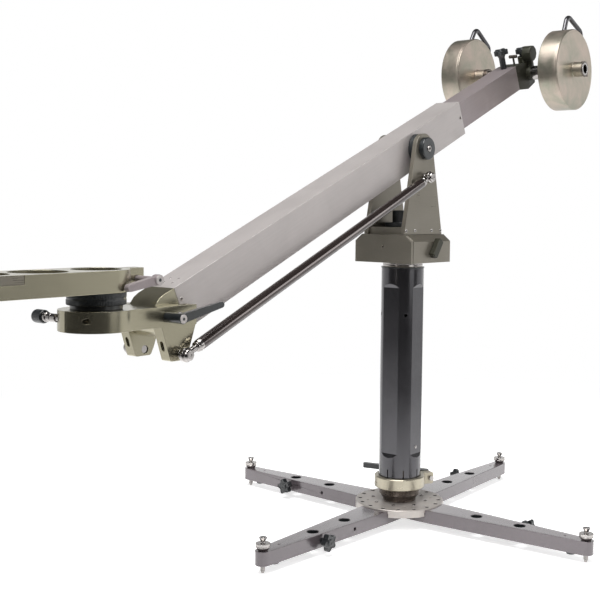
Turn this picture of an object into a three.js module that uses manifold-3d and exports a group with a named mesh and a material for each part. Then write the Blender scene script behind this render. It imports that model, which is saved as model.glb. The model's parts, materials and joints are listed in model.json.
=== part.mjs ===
// Camera jib crane: a four-legged base with levelling screws, a column, a turning head with two
// cheeks, a tilting boom with two tie rods, a level camera platform and a telescopic weight arm.
// Millimetres, +Z up. The origin is on the column's axis at the underside of the base plate.
// +X points to the weights, -X to the camera platform.
import * as THREE from 'three';
import { mergeVertices } from 'three/addons/utils/BufferGeometryUtils.js';
import Module from 'manifold-3d';

const wasm = await Module();
wasm.setup();

// Gaps and cutters
const seatGap = 0.3;          // between two faces that rest on each other
const runGap = 0.4;           // round a pin or shaft that turns
const overrun = 4;            // how far a cutter runs past the faces that it cuts

// Facets round a full circle
const broadFacets = 24;
const roundFacets = 18;
const pinFacets = 10;
const holeFacets = 8;
const socketFacets = 14;
const lobePoints = 20;
const bendFacets = 5;
const gripSteps = 13;

// Base plate
const plateRadius = 115;
const plateThickness = 19.5;
const plateEdge = 1.5;
const plateHoles = 16;
const plateHoleCircle = 102;
const plateHoleRadius = 5.5;
const plateScrewCircle = 83;
const plateScrewRadius = 3.5;

// Legs, drawn along +X
const legCount = 4;
const legRoot = 46;           // inner end, from the column's axis
const legReach = 530;         // levelling screw, from the column's axis
const legRootHalf = 40;       // half the width at the plate
const legTipHalf = 18;
const legTop = 16.5;
const legHeight = 32.5;
const legTongueDrop = 10;     // plate metal left above the tongue
const socketNear = 235;
const socketFar = 356;
const socketRadius = 14.5;
const socketScrewRadius = 4.2;
const tipHoleRadius = 2.5;
const tipHoleDepth = 8;
const tipHoleInset = 54;
const padRadius = 11;
const padHeight = 7;
const padInset = 38;

// Levelling screws and their lock nuts
const levelRadius = 6;
const levelTipRadius = 3.5;
const levelTipLength = 5;
const levelFloor = 19;        // tip below the underside of the leg
const levelHeadRadius = 10;
const levelHeadHeight = 8;
const levelHeadRise = 21;     // underside of the head above the leg
const levelDish = 3;
const nutRadius = 17;
const nutFootRadius = 11;
const nutHeight = 16;
const nutConeShare = 0.5;
const nutEdge = 1.5;

// Star knobs
const starLobes = 5;
const starRadius = 18;
const starLobe = 3.5;
const starThickness = 15;
const starNeck = 14;
const starNeckRadius = 8;
const starCap = 2.5;
const starCapRadius = 11;
const starCone = 8;           // cone under the lobed head
const socketKnobStem = 8;

// Column foot
const bossFootRadius = 43;
const bossFootHeight = 4;
const bossFlare = 16;         // height of the flare from the foot to the full radius
const bossRadius = 54;
const bossSpigotTop = 150;

// Column
const columnRadius = 55;
const columnBore = 46;
const columnFoot = 57;
const columnLength = 570;
const flatDistance = 49.1;
const flatFoot = 147;
const flatBelowTop = 49;
const flatRunout = 10;
const slotCount = 8;
const slotWidth = 3;
const slotTop = 106.5;
const gripHoleRadius = 5;
const gripHoleBelowTop = 119;

// Clamp ring and its lever
const ringFoot = 54.5;
const ringHeight = 30;
const ringRadius = 66;
const ringEdge = 2;
const lugAngle = -28;         // split lug, degrees from +X
const lugReach = 94;
const lugBehind = 14;         // ear away from the lever
const lugAhead = 8;           // ear on the lever's side
const lugCorner = 6;
const lugSplit = 2;
const clampBoltReach = 86;
const clampBoltRadius = 4;
const clampBoltHead = 6.5;
const clampBoltHeadHeight = 5;
const clampHubRadius = 9;
const clampHubFoot = 4;       // above the ring's foot
const clampArmFoot = 18;
const clampArmDepth = 13;
const clampArmLength = 172;
const clampArmTip = 6.5;
const clampArmDirection = 105;

// Pan bearing and pan shaft
const bearingHeight = 15.8;
const bearingRadius = 52;
const bearingFlange = 56;
const bearingFlangeHeight = 4;
const shaftRadius = 24;
const shaftPlugDepth = 34;

// Housing of the turning head
const housingHalfX = 90;
const housingHalfY = 87;
const housingHeight = 71.6;
const housingSide = 54.5;       // height of the upright sides
const housingChamfer = 20.9;
const coverThickness = 8;
const coverSeam = 2;
const coverScrewRadius = 3;
const coverScrewRise = 40.6;
const coverScrewDepth = 5;
const blockSetback = 5;         // from the housing's ends
const blockRise = 18;

// Pan friction wheel
const wheelRadius = 47;
const wheelDisc = 11.5;
const wheelHubRadius = 29;
const wheelHubHeight = 31;
const wheelEdge = 1.5;
const wheelStud = 19;         // below the wheel, down to the pan shaft's end

// Pan brake lever on the housing's side
const brakeWidth = 19;
const brakeDepth = 16;
const brakeLength = 50;
const brakeLean = 35;
const brakePivotX = 2;
const brakePivotRise = 24.6;
const brakePinRadius = 5;
const brakePinDepth = 18;

// Cheeks
const cheekInner = 50.5;
const cheekThickness = 12;
const cheekSetback = 4;         // from the housing's ends
const cheekHeadRadius = 38.5;

// Tilt axle, level with the middle of the boom
const axisRise = 218.4;       // above the housing's top
const axleRadius = 15;
const axleShoulder = 3.5;     // how far the thick part runs past the cheek
const axleStubRadius = 7;
const axleKnobRadius = 28.6;
const axleKnobThickness = 14;
const axleKnobEdge = 2.5;
const axleStubRise = 1.5;
const discRadius = 38;

// Boom
const restTilt = 23.57;       // the boom's fall towards the platform, degrees
const boomReach = 917;        // tilt axle to head pivot
const boomHeight = 91;
const boomWidth = 73.4;
const boomTail = 240;         // rear end behind the tilt axle
const boomSideWall = 4.8;
const boomTopWall = 6.7;
const boomFloor = 11.7;
const noseLap = 28.5;         // front end of the tube behind the head pivot
const nosePlug = 60;
const nosePlugGap = 0.5;
const keyHoleRadius = 4;
const keyHoleInset = 9.4;
const keyHoleRise = 2.3;

// Extension tube and bracket
const extensionFront = 130;
const extensionRear = 586;
const extensionWall = 4;
const extensionGap = 0.4;
const bracketPlug = 55;
const bracketPlugGap = 0.5;
const bracketTail = 100;
const bracketDrop = 14;
const bracketNeck = 52;
const bracketShoulder = 19;
const bracketCorner = 5;
const tailBossRadius = 17;
const tailBossRise = 20;
const tailBossBehind = 10;     // behind the bracket's rear face
const weightAxleBehind = 76;  // behind the extension's rear end
const weightAxleDrop = 6;

// Weight axle
const weightAxleRadius = 16.5;
const weightAxleBore = 12.5;
const axleEndRing = 4;
const axleEndRadius = 19;
const collarRadius = 22;
const collarWidth = 12;
const stopCollarWidth = 14;

// Disc weights
const weightRadius = 117;
const weightThickness = 53.4;
const weightReachLeft = 147.9;  // middle plane to the disc's near face
const weightReachRight = 125.8;
const weightEdge = 2.5;
const weightHubRadius = 21.5;
const weightHubLength = 28;

// Weight handles
const gripRadius = 6;
const gripHalf = 55;
const gripReach = 153;
const gripBend = 20;
const gripLeanLeft = 31;      // from upright towards the rear, at rest, degrees
const gripLeanRight = 21;

// Knobs and pin on top of the rear arm
const lockKnobBack = 16;      // before the extension's rear end
const lockStemRadius = 9;
const lockStemHeight = 46;
const lockStemDepth = 10;
const pinBehind = 50;
const pinRadius = 3;
const pinDepth = 22;
const pinRise = 21;
const pinBarRadius = 5;
const pinBarHalf = 13;

// Round keeper above the weight axle
const keeperRadius = 23;
const keeperEdge = 2;
const keeperWidth = 26.5;
const keeperSide = 50;        // its right face, from the middle plane
const keeperRise = 58;
const keeperBehind = 8;
const keeperStem = 12;

// Tie rods
const rodDrop = 72.7;         // rod pins below the boom's pivots
const rodOffset = 78.5;       // rod centre from the middle plane
const rodRadius = 12.5;
const rodEnd = 38;            // pin to the end of the thick tube
const rodTaper = 5;
const rodNeckRadius = 6.8;
const eyeRadius = 15;
const eyeWidth = 14;
const rodPinRadius = 7;
const rodPinRoot = 8;
const rodPinRootLength = 22;
const rodPinSpacer = 9.5;
const rodPinHead = 12;
const rodPinHeadHeight = 6.5;

// Fork
const forkThickness = 39;
const forkBelowPivot = 18;
const forkHalf = 62;
const forkSlotHalf = 38;
const forkRear = 44;          // rear end behind the head pivot
const forkThroat = 52.5;      // front of the slot before the head pivot
const clampBefore = 150.6;    // clamp bore's axis before the head pivot
const clampRadius = 70;
const clampBore = 42;
const clampSlit = 3;
const clampScrewBefore = 55;  // clamp screw before the clamp bore's axis
const clampScrewRadius = 6;
const clampScrewNear = 28;
const clampScrewRise = 3;      // above the fork's middle
const clampSpotFace = 42;      // seat of the screw's shaft, from the middle plane
const clampScrewShaft = 8;
const clampKnobRadius = 13;
const clampCollarStart = 70;
const clampCollarRadius = 9.5;
const clampKnobStart = 78;
const clampKnobLength = 28;
const clampKnobEdge = 2;
const clampDrillRadius = 5;
const earFrontTop = 48;       // ear outline, before and behind the head pivot
const earRearTop = 43;
const earFrontLow = 24;
const earRearLow = 24;
const earBottom = 12.8;       // below the rod pin
const earCorner = 9;
const earPocketHeight = 20;
const earPocketWidth = 9;
const earPocketDepth = 9;
const earPocketRise = 7;
const forkPocketLength = 28;
const forkPocketWidth = 14;
const forkPocketDepth = 8;
const forkPocketInset = 22;

// Head pivot pin and head lock lever
const headPinRadius = 9;
const headPinHead = 14;
const headPinHeadHeight = 6;
const headLeverBefore = 33;   // lever's screw before the head pivot
const headLeverRise = 0.8;
const headScrewRadius = 6;
const headHubRadius = 10;
const headHubLength = 45;
const headArmLength = 106;
const headArmRoot = 9;
const headArmTip = 6;
const headArmWidth = 10;
const headArmInset = 1.5;
const headArmRise = 11;       // degrees above level

// Pan bearing of the camera platform
const gripRingRadius = 55;
const gripRingHeight = 24;
const gripRingEdge = 1.5;
const gripNeckRadius = 48;
const spigotBelow = 36;
const tieNutRadius = 24.5;
const tieNutRise = 24;

// Camera platform
const platformThickness = 41;
const platformHalf = 62;
const platformFront = 299;    // front end before the pan axis
const platformCorner = 24;
const wellRadius = 46.5;
const wellFloor = 12;
const middleCutRadius = 52;
const middleCutBefore = 127;
const frontCutRadius = 44;
const frontCutBefore = 237;
const railStart = 198;
const railEnd = 282;
const railHeight = 15.5;
const railDepth = 4;
const railBelowTop = 1;
const rearLugReach = 101;         // rear lug behind the pan axis
const lugHalf = 15;
const lugHeight = 34;
const lugSlit = 3;
const lugScrewReach = 85;
const lugScrewRadius = 6;
const lugScrewLevel = 20.4;   // above the platform's underside
const platformHubRadius = 10.5;
const platformHubLength = 14;
const platformArmLength = 68;
const platformArmRoot = 8.5;
const platformArmTip = 7;
const platformArmFall = 10;
const platformArmGap = 2;

// Colours and finishes
function finish(color, roughness, metalness) {
  return new THREE.MeshStandardMaterial({ color, roughness, metalness });
}
const legPaint = finish('#7d7579', 0.42, 0.7);
const plateMetal = finish('#a9a699', 0.38, 0.85);
const champagne = finish('#8b8974', 0.36, 0.8);
const boomPaint = finish('#9a9293', 0.4, 0.75);
const tubePaint = finish('#6e686a', 0.38, 0.75);
const olive = finish('#6c6c61', 0.4, 0.75);
const darkOlive = finish('#34352a', 0.5, 0.5);
const blackColumn = finish('#26262a', 0.45, 0.5);
const blackPlastic = finish('#141618', 0.5, 0);
const steel = finish('#c9c8c6', 0.2, 1);
const darkSteel = finish('#5d5753', 0.3, 0.95);
const zinc = finish('#b3ab93', 0.33, 0.9);
const brassNickel = finish('#bdb795', 0.3, 0.95);
const rodBlack = finish('#2c2524', 0.2, 0.7);

// A geometry as a closed solid: shared corners merged, flat triangles dropped, faces outwards
function solid(geometry) {
  const bare = geometry.clone();
  bare.deleteAttribute('normal');
  bare.deleteAttribute('uv');
  const merged = mergeVertices(bare);
  const corners = merged.attributes.position;
  const triangles = [];
  let volume = 0;
  const a = new THREE.Vector3();
  const b = new THREE.Vector3();
  const c = new THREE.Vector3();
  for (let i = 0; i < merged.index.count; i += 3) {
    const [p, q, r] = [0, 1, 2].map((step) => merged.index.getX(i + step));
    if (p === q || q === r || r === p) continue;
    triangles.push([p, q, r]);
    a.fromBufferAttribute(corners, p);
    b.fromBufferAttribute(corners, q);
    c.fromBufferAttribute(corners, r);
    volume += a.dot(b.cross(c));
  }
  const turned = volume < 0 ? triangles.map(([p, q, r]) => [p, r, q]) : triangles;
  return new wasm.Manifold(new wasm.Mesh({
    numProp: 3,
    vertProperties: new Float32Array(corners.array),
    triVerts: new Uint32Array(turned.flat()),
  }));
}

function joined(first, ...others) {
  return others.reduce((whole, other) => whole.add(other), first);
}

function cutBy(first, ...cutters) {
  return cutters.reduce((whole, cutter) => whole.subtract(cutter), first);
}

// A block between two opposite corners
function block([x0, y0, z0], [x1, y1, z1]) {
  const box = new THREE.BoxGeometry(x1 - x0, y1 - y0, z1 - z0);
  return solid(box.translate((x0 + x1) / 2, (y0 + y1) / 2, (z0 + z1) / 2));
}

// A body turned round the Z axis, from a profile of [radius, height] points
function turned(profile, facets = roundFacets) {
  const points = profile.map(([radius, height]) => new THREE.Vector2(radius, height));
  return solid(new THREE.LatheGeometry(points, facets).rotateX(Math.PI / 2));
}

// The same body with its axis laid along +Y or +X
function alongY(profile, facets = roundFacets) {
  const points = profile.map(([radius, height]) => new THREE.Vector2(radius, height));
  return solid(new THREE.LatheGeometry(points, facets));
}

// A plain cylinder from one height to another
function post(radius, from, to, facets = roundFacets) {
  return turned([[0, from], [radius, from], [radius, to], [0, to]], facets);
}

function postY(radius, from, to, facets = roundFacets) {
  return alongY([[0, from], [radius, from], [radius, to], [0, to]], facets);
}

// Corner radius of a faceted bore that a round pin of the given radius just fits
function boreCorner(radius, facets = roundFacets) {
  return radius / Math.cos(Math.PI / facets);
}

// Cutters for such a bore, upright and along Y
function bore(radius, from, to, facets = roundFacets) {
  return post(boreCorner(radius, facets), from, to, facets);
}

function boreY(radius, from, to, facets = roundFacets) {
  return postY(boreCorner(radius, facets), from, to, facets);
}

// A ring between two radii, with its outer edges bevelled
function ring(inner, outer, from, to, edge, facets = broadFacets) {
  return turned([
    [inner, from], [outer - edge, from], [outer, from + edge],
    [outer, to - edge], [outer - edge, to], [inner, to], [inner, from],
  ], facets);
}

// An outline in X and Y, as thick as from one height to another
function plate(outline, from, to, curveSegments = bendFacets) {
  const settings = { depth: to - from, bevelEnabled: false, curveSegments };
  return solid(new THREE.ExtrudeGeometry(outline, settings).translate(0, 0, from));
}

// An outline in X and Z, as thick as from one Y to another
function slab(outline, from, to, curveSegments = bendFacets) {
  const settings = { depth: to - from, bevelEnabled: false, curveSegments };
  const upright = new THREE.ExtrudeGeometry(outline, settings).rotateX(Math.PI / 2);
  return solid(upright.translate(0, to, 0));
}

function outline(points) {
  return new THREE.Shape(points.map(([x, y]) => new THREE.Vector2(x, y)));
}

// A straight-sided outline with every corner rounded
function roundedOutline(points, radius) {
  const corners = points.map(([x, y]) => new THREE.Vector2(x, y));
  const shape = new THREE.Shape();
  corners.forEach((corner, i) => {
    const before = corners[(i + corners.length - 1) % corners.length];
    const after = corners[(i + 1) % corners.length];
    const start = corner.clone().add(before.clone().sub(corner).setLength(radius));
    const end = corner.clone().add(after.clone().sub(corner).setLength(radius));
    if (i === 0) shape.moveTo(start.x, start.y);
    else shape.lineTo(start.x, start.y);
    shape.quadraticCurveTo(corner.x, corner.y, end.x, end.y);
  });
  shape.closePath();
  return shape;
}

// A lever arm in outline: round ends of two sizes, joined by straight sides
function leverOutline(rootRadius, tipRadius, length, angle) {
  const lean = Math.acos((rootRadius - tipRadius) / length);
  const direction = THREE.MathUtils.degToRad(angle);
  const shape = new THREE.Shape();
  const tipX = length * Math.cos(direction);
  const tipY = length * Math.sin(direction);
  shape.absarc(tipX, tipY, tipRadius, direction - lean, direction + lean, false);
  shape.absarc(0, 0, rootRadius, direction + lean, direction - lean + 2 * Math.PI, false);
  shape.closePath();
  return shape;
}

// A star knob on the Z axis: neck, lobed head and cap, above a given height
function starKnob(foot, neckHeight, neckRadius, stemDepth, stemRadius) {
  const lobed = [];
  for (let i = 0; i < lobePoints; i += 1) {
    const turn = (2 * Math.PI * i) / lobePoints;
    const radius = starRadius + starLobe * Math.cos(starLobes * turn);
    lobed.push([radius * Math.cos(turn), radius * Math.sin(turn)]);
  }
  const head = foot + neckHeight;
  const top = head + starThickness;
  return joined(
    plate(outline(lobed), head, top),
    turned([
      [0, foot - stemDepth], [stemRadius, foot - stemDepth], [stemRadius, foot], [neckRadius, foot],
      [neckRadius, head - starCone], [starCapRadius, head], [starCapRadius, top - starCap],
      [starCapRadius - starCap, top + starCap], [0, top + starCap],
    ], holeFacets),
  );
}

// The finished piece: a mesh with its own name and finish
function piece(name, body, material) {
  const mesh = body.getMesh();
  const geometry = new THREE.BufferGeometry();
  geometry.setAttribute('position', new THREE.BufferAttribute(new Float32Array(mesh.vertProperties), 3));
  geometry.setIndex(new THREE.BufferAttribute(new Uint32Array(mesh.triVerts), 1));
  geometry.computeVertexNormals();
  const result = new THREE.Mesh(geometry, material.clone());
  result.name = name;
  return result;
}

const degrees = THREE.MathUtils.degToRad;
const crane = new THREE.Group();

// Levels that follow from the column's length, upwards
const columnTop = columnFoot + columnLength;
const bearingFoot = columnTop + seatGap;
const bearingTop = bearingFoot + bearingHeight;
const housingFoot = bearingTop + seatGap;
const housingSideTop = housingFoot + housingSide;
const housingTop = housingFoot + housingHeight;
const blockTop = housingTop + blockRise;
const shaftTop = blockTop - wheelStud;
const axisHeight = housingTop + axisRise;

// Base plate, slotted underneath for the legs
const tongueTop = plateThickness - legTongueDrop;
const boreCutters = [];
for (let i = 0; i < plateHoles; i += 1) {
  const turn = (2 * Math.PI * (i + 1 / 2)) / plateHoles;
  boreCutters.push(bore(plateHoleRadius, -overrun, plateThickness + overrun, holeFacets)
    .translate([plateHoleCircle * Math.cos(turn), plateHoleCircle * Math.sin(turn), 0]));
}
for (let i = 0; i < legCount; i += 1) {
  const turn = (2 * Math.PI * (i + 1 / 2)) / legCount;
  boreCutters.push(bore(plateScrewRadius, -overrun, plateThickness + overrun, holeFacets)
    .translate([plateScrewCircle * Math.cos(turn), plateScrewCircle * Math.sin(turn), 0]));
}
const legSlots = [];
for (let i = 0; i < legCount; i += 1) {
  legSlots.push(block(
    [legRoot - seatGap, -legRootHalf - seatGap, -overrun],
    [plateRadius + overrun, legRootHalf + seatGap, tongueTop],
  ).rotate([0, 0, (360 / legCount) * i]));
}
const plateDisc = turned([
  [0, 0], [plateRadius, 0], [plateRadius, plateThickness - plateEdge],
  [plateRadius - plateEdge, plateThickness], [0, plateThickness],
], broadFacets);
crane.add(piece('base_plate', cutBy(plateDisc, ...boreCutters, ...legSlots), plateMetal));

// One leg along +X: tongue, tapered bar, two sockets, round tip and rubber pad
const legFoot = legTop - legHeight;
const legOutline = new THREE.Shape();
legOutline.moveTo(legRoot, -legRootHalf);
legOutline.lineTo(plateRadius, -legRootHalf);
legOutline.lineTo(legReach, -legTipHalf);
legOutline.absarc(legReach, 0, legTipHalf, -Math.PI / 2, Math.PI / 2, false);
legOutline.lineTo(plateRadius, legRootHalf);
legOutline.lineTo(legRoot, legRootHalf);
legOutline.closePath();
function legHalfAt(distance) {
  const share = (distance - plateRadius) / (legReach - plateRadius);
  return legRootHalf + (legTipHalf - legRootHalf) * share;
}
const legMiddle = (legTop + legFoot) / 2;
function sideScrewHole(distance) {
  const edge = legHalfAt(distance);
  return boreY(socketScrewRadius, 0, edge + overrun, holeFacets).translate([distance, 0, legMiddle]);
}
const legBody = cutBy(
  joined(
    plate(legOutline, legFoot, legTop),
    post(padRadius, legFoot - padHeight, legTop - overrun, pinFacets)
      .translate([legReach - padInset, 0, 0]),
  ),
  post(plateRadius + seatGap, tongueTop - seatGap, legTop + overrun, broadFacets),
  bore(socketRadius, legFoot - overrun, legTop + overrun, socketFacets).translate([socketNear, 0, 0]),
  bore(socketRadius, legFoot - overrun, legTop + overrun, socketFacets).translate([socketFar, 0, 0]),
  bore(levelRadius + runGap, legFoot - overrun, legTop + overrun, pinFacets).translate([legReach, 0, 0]),
  bore(tipHoleRadius, legTop - tipHoleDepth, legTop + overrun, holeFacets)
    .translate([legReach - tipHoleInset, 0, 0]),
  sideScrewHole(socketNear),
  sideScrewHole(socketFar),
);

// Levelling screw, lock nut and socket knob of that leg
const levelHead = legTop + levelHeadRise;
const levelTip = legFoot - levelFloor;
const levelBody = turned([
  [0, levelTip], [levelTipRadius, levelTip], [levelRadius, levelTip + levelTipLength],
  [levelRadius, levelHead], [levelHeadRadius, levelHead + levelHeadHeight],
  [levelTipRadius, levelHead + levelHeadHeight], [0, levelHead + levelHeadHeight - levelDish],
], pinFacets);
const nutFoot = legTop + seatGap;
const nutTop = nutFoot + nutHeight;
const nutWaist = nutFoot + nutHeight * nutConeShare;
const nutBore = boreCorner(levelRadius + runGap, pinFacets);
const nutBody = turned([
  [nutBore, nutFoot], [nutFootRadius, nutFoot], [nutRadius, nutWaist],
  [nutRadius, nutTop - nutEdge], [nutRadius - nutEdge, nutTop], [nutBore, nutTop], [nutBore, nutFoot],
], pinFacets);
const socketKnob = starKnob(
  legHalfAt(socketFar - starNeckRadius) + seatGap, starNeck, starNeckRadius,
  socketKnobStem, socketScrewRadius - seatGap,
).rotate([-90, 0, 0]).translate([socketFar, 0, legMiddle]);
['rear', 'left', 'front', 'right'].forEach((side, i) => {
  const arm = new THREE.Group();
  arm.rotation.z = degrees((360 / legCount) * i);
  const screw = piece(`levelling_screw_${side}`, levelBody, steel);
  const nut = piece(`lock_nut_${side}`, nutBody, steel);
  screw.position.x = legReach;
  nut.position.x = legReach;
  arm.add(piece(`leg_${side}`, legBody, legPaint), screw, nut);
  arm.add(piece(`socket_knob_${side}`, socketKnob, blackPlastic));
  crane.add(arm);
});

// Threaded boss on the plate, with the spigot that the column stands on
const bossFoot = plateThickness + seatGap;
const bossWaist = bossFoot + bossFootHeight;
crane.add(piece('column_boss', turned([
  [0, bossFoot], [bossFootRadius, bossFoot], [bossFootRadius, bossWaist],
  [bossRadius, bossWaist + bossFlare], [bossRadius, columnFoot - seatGap],
  [columnBore - seatGap, columnFoot - seatGap], [columnBore - seatGap, bossSpigotTop], [0, bossSpigotTop],
], broadFacets), darkSteel));

// Column: four milled flats that run out in slopes, and a slotted foot
const flatDepth = columnRadius - flatDistance;
const cutReach = flatDistance + 2 * flatDepth;
const flatHead = columnTop - flatBelowTop;
const flatCutter = slab(outline([
  [flatDistance, flatFoot], [cutReach, flatFoot - 2 * flatRunout],
  [cutReach, flatHead + 2 * flatRunout], [flatDistance, flatHead],
]), -columnRadius, columnRadius);
const columnCutters = [bore(columnBore, columnFoot - overrun, columnTop + overrun, broadFacets)];
for (let i = 0; i < legCount; i += 1) {
  const turn = (360 / legCount) * i;
  columnCutters.push(flatCutter.rotate([0, 0, turn]));
  columnCutters.push(bore(gripHoleRadius, columnBore - overrun, columnRadius + overrun, holeFacets)
    .rotate([0, 90, 0]).translate([0, 0, columnTop - gripHoleBelowTop]).rotate([0, 0, turn + 45]));
}
for (let i = 0; i < slotCount; i += 1) {
  columnCutters.push(block(
    [columnBore - overrun, -slotWidth / 2, columnFoot - overrun],
    [columnRadius + overrun, slotWidth / 2, slotTop],
  ).rotate([0, 0, (360 / slotCount) * i]));
}
const columnBlank = post(columnRadius, columnFoot, columnTop, broadFacets);
crane.add(piece('column_tube', cutBy(columnBlank, ...columnCutters), blackColumn));

// Clamp ring round the slotted foot, with a split lug that a bolt draws together
const ringTop = ringFoot + ringHeight;
const lugMiddle = (ringFoot + ringTop) / 2;
const lugSide = slab(roundedOutline([
  [columnRadius, ringFoot], [lugReach, ringFoot], [lugReach, ringTop], [columnRadius, ringTop],
], lugCorner), -lugBehind, lugAhead);
const clampRing = cutBy(
  joined(
    ring(columnRadius - overrun, ringRadius, ringFoot, ringTop, ringEdge),
    lugSide.rotate([0, 0, lugAngle]),
  ),
  bore(columnRadius + seatGap, ringFoot - overrun, ringTop + overrun, broadFacets),
  joined(
    block(
      [columnRadius - overrun, -lugSplit, ringFoot - overrun],
      [lugReach + overrun, 0, ringTop + overrun],
    ),
    boreY(clampBoltRadius + seatGap, -lugBehind - overrun, lugAhead + overrun, pinFacets)
      .translate([clampBoltReach, 0, lugMiddle]),
  ).rotate([0, 0, lugAngle]),
);
crane.add(piece('clamp_ring', clampRing, brassNickel));
const boltSeat = -lugBehind - seatGap;
crane.add(piece('clamp_ring_bolt', alongY([
  [0, boltSeat - clampBoltHeadHeight], [clampBoltHead, boltSeat - clampBoltHeadHeight],
  [clampBoltHead, boltSeat], [clampBoltRadius, boltSeat], [clampBoltRadius, lugAhead], [0, lugAhead],
], pinFacets).translate([clampBoltReach, 0, lugMiddle]).rotate([0, 0, lugAngle]), steel));

// Clamp lever: an upright hub against the lug, and a long arm that lies past the ring
const clampPivot = new THREE.Vector2(clampBoltReach, lugAhead + seatGap + clampHubRadius)
  .rotateAround(new THREE.Vector2(), THREE.MathUtils.degToRad(lugAngle));
const clampArm = leverOutline(clampHubRadius, clampArmTip, clampArmLength, clampArmDirection);
const clampArmTop = ringFoot + clampArmFoot + clampArmDepth;
crane.add(piece('clamp_lever', joined(
  plate(clampArm, ringFoot + clampArmFoot, clampArmTop),
  post(clampHubRadius, ringFoot + clampHubFoot, clampArmTop, pinFacets),
).translate([clampPivot.x, clampPivot.y, 0]), blackPlastic));

// Pan bearing on the column's top, and the pan shaft that the head turns on
const shaftBore = boreCorner(shaftRadius + runGap);
crane.add(piece('pan_bearing', turned([
  [shaftBore, bearingFoot], [bearingFlange, bearingFoot],
  [bearingFlange, bearingFoot + bearingFlangeHeight], [bearingRadius, bearingFoot + bearingFlangeHeight],
  [bearingRadius, bearingTop], [shaftBore, bearingTop], [shaftBore, bearingFoot],
]), steel));
crane.add(piece('pan_shaft', turned([
  [0, columnTop - shaftPlugDepth], [columnBore - seatGap, columnTop - shaftPlugDepth],
  [columnBore - seatGap, columnTop], [shaftRadius, columnTop], [shaftRadius, shaftTop], [0, shaftTop],
], roundFacets), darkSteel));

// Housing of the turning head: chamfered top edges, raised block and shaft bore
const housingProfile = outline([
  [-housingHalfY, housingFoot], [housingHalfY, housingFoot], [housingHalfY, housingSideTop],
  [housingHalfY - housingChamfer, housingTop], [-housingHalfY + housingChamfer, housingTop],
  [-housingHalfY, housingSideTop],
]);
function housingSlice(from, to) {
  return slab(housingProfile, from, to).rotate([0, 0, -90]);
}
const coverBack = -housingHalfX + coverThickness;
const housingFront = coverBack + seatGap;
const brakePivotZ = housingFoot + brakePivotRise;
const seamCutter = cutBy(
  housingSlice(-housingHalfX - overrun, housingFront + coverSeam),
  housingSlice(-housingHalfX - 2 * overrun, housingFront + overrun).scale(
    [1, 1 - coverSeam / housingHalfY, 1],
  ),
);
const blockHalfX = housingHalfX - blockSetback;
const housing = cutBy(
  joined(
    housingSlice(-housingHalfX + coverThickness + seatGap, housingHalfX),
    block(
      [-blockHalfX + coverThickness, -cheekInner + seatGap, housingTop - overrun],
      [blockHalfX, cheekInner - seatGap, blockTop],
    ),
  ),
  bore(shaftRadius + runGap, housingFoot - overrun, blockTop + overrun),
  seamCutter,
  boreY(brakePinRadius + runGap, -housingHalfY - overrun, -housingHalfY + brakePinDepth + runGap, pinFacets)
    .translate([brakePivotX, 0, brakePivotZ]),
);
crane.add(piece('head_housing', housing, olive));
const cover = cutBy(
  housingSlice(-housingHalfX, coverBack),
  post(coverScrewRadius, -housingHalfX - overrun, -housingHalfX + coverScrewDepth, holeFacets)
    .rotate([0, 90, 0]).translate([0, 0, housingFoot + coverScrewRise]),
);
crane.add(piece('housing_cover', cover, olive));

// Friction wheel: its stud goes down through the housing to the pan shaft's end
const wheelFoot = blockTop + seatGap;
const wheelTop = wheelFoot + wheelDisc + wheelHubHeight;
crane.add(piece('pan_friction_wheel', turned([
  [0, shaftTop + seatGap], [shaftRadius, shaftTop + seatGap], [shaftRadius, wheelFoot],
  [wheelRadius - wheelEdge, wheelFoot],
  [wheelRadius, wheelFoot + wheelEdge], [wheelRadius, wheelFoot + wheelDisc - wheelEdge],
  [wheelRadius - wheelEdge, wheelFoot + wheelDisc], [wheelHubRadius, wheelFoot + wheelDisc],
  [wheelHubRadius, wheelTop - wheelEdge], [wheelHubRadius - wheelEdge, wheelTop], [0, wheelTop],
], roundFacets), blackPlastic));

// Pan brake lever: a leaning bar on a short shaft in the housing's side
const brakeFace = -housingHalfY - seatGap;
const brakeBar = slab(roundedOutline([
  [-brakeWidth / 2, -brakeWidth / 2], [brakeWidth / 2, -brakeWidth / 2],
  [brakeWidth / 2, brakeLength - brakeWidth / 2], [-brakeWidth / 2, brakeLength - brakeWidth / 2],
], ringEdge), brakeFace - brakeDepth, brakeFace, 2).rotate([0, brakeLean, 0]);
const brakeLever = joined(
  brakeBar,
  postY(brakePinRadius, brakeFace - brakeDepth / 2, -housingHalfY + brakePinDepth, pinFacets),
).translate([brakePivotX, 0, brakePivotZ]);
crane.add(piece('pan_brake_lever', brakeLever, darkOlive));

// Cheeks: straight sides that run into a round head over the tilt axle
const cheekFoot = housingTop + seatGap;
const cheekRise = axisHeight - cheekFoot;
const cheekHalfFoot = housingHalfX - cheekSetback;
const footDistance = Math.hypot(cheekHalfFoot, cheekRise);
const cheekTangent = Math.acos(cheekHeadRadius / footDistance) - Math.atan2(cheekRise, cheekHalfFoot);
const cheekOutline = new THREE.Shape();
cheekOutline.moveTo(-cheekHalfFoot, cheekFoot);
cheekOutline.lineTo(cheekHalfFoot, cheekFoot);
cheekOutline.absarc(0, axisHeight, cheekHeadRadius, cheekTangent, Math.PI - cheekTangent, false);
cheekOutline.closePath();
const cheekOuter = cheekInner + cheekThickness;
const rearPinLevel = axisHeight - rodDrop;
const cheekPlate = cutBy(
  slab(cheekOutline, cheekInner, cheekOuter),
  boreY(axleRadius + seatGap, cheekInner - overrun, cheekOuter + overrun, pinFacets)
    .translate([0, 0, axisHeight]),
  boreY(rodPinRoot + seatGap, cheekInner - overrun, cheekOuter + overrun, pinFacets)
    .translate([0, 0, rearPinLevel]),
);

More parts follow.
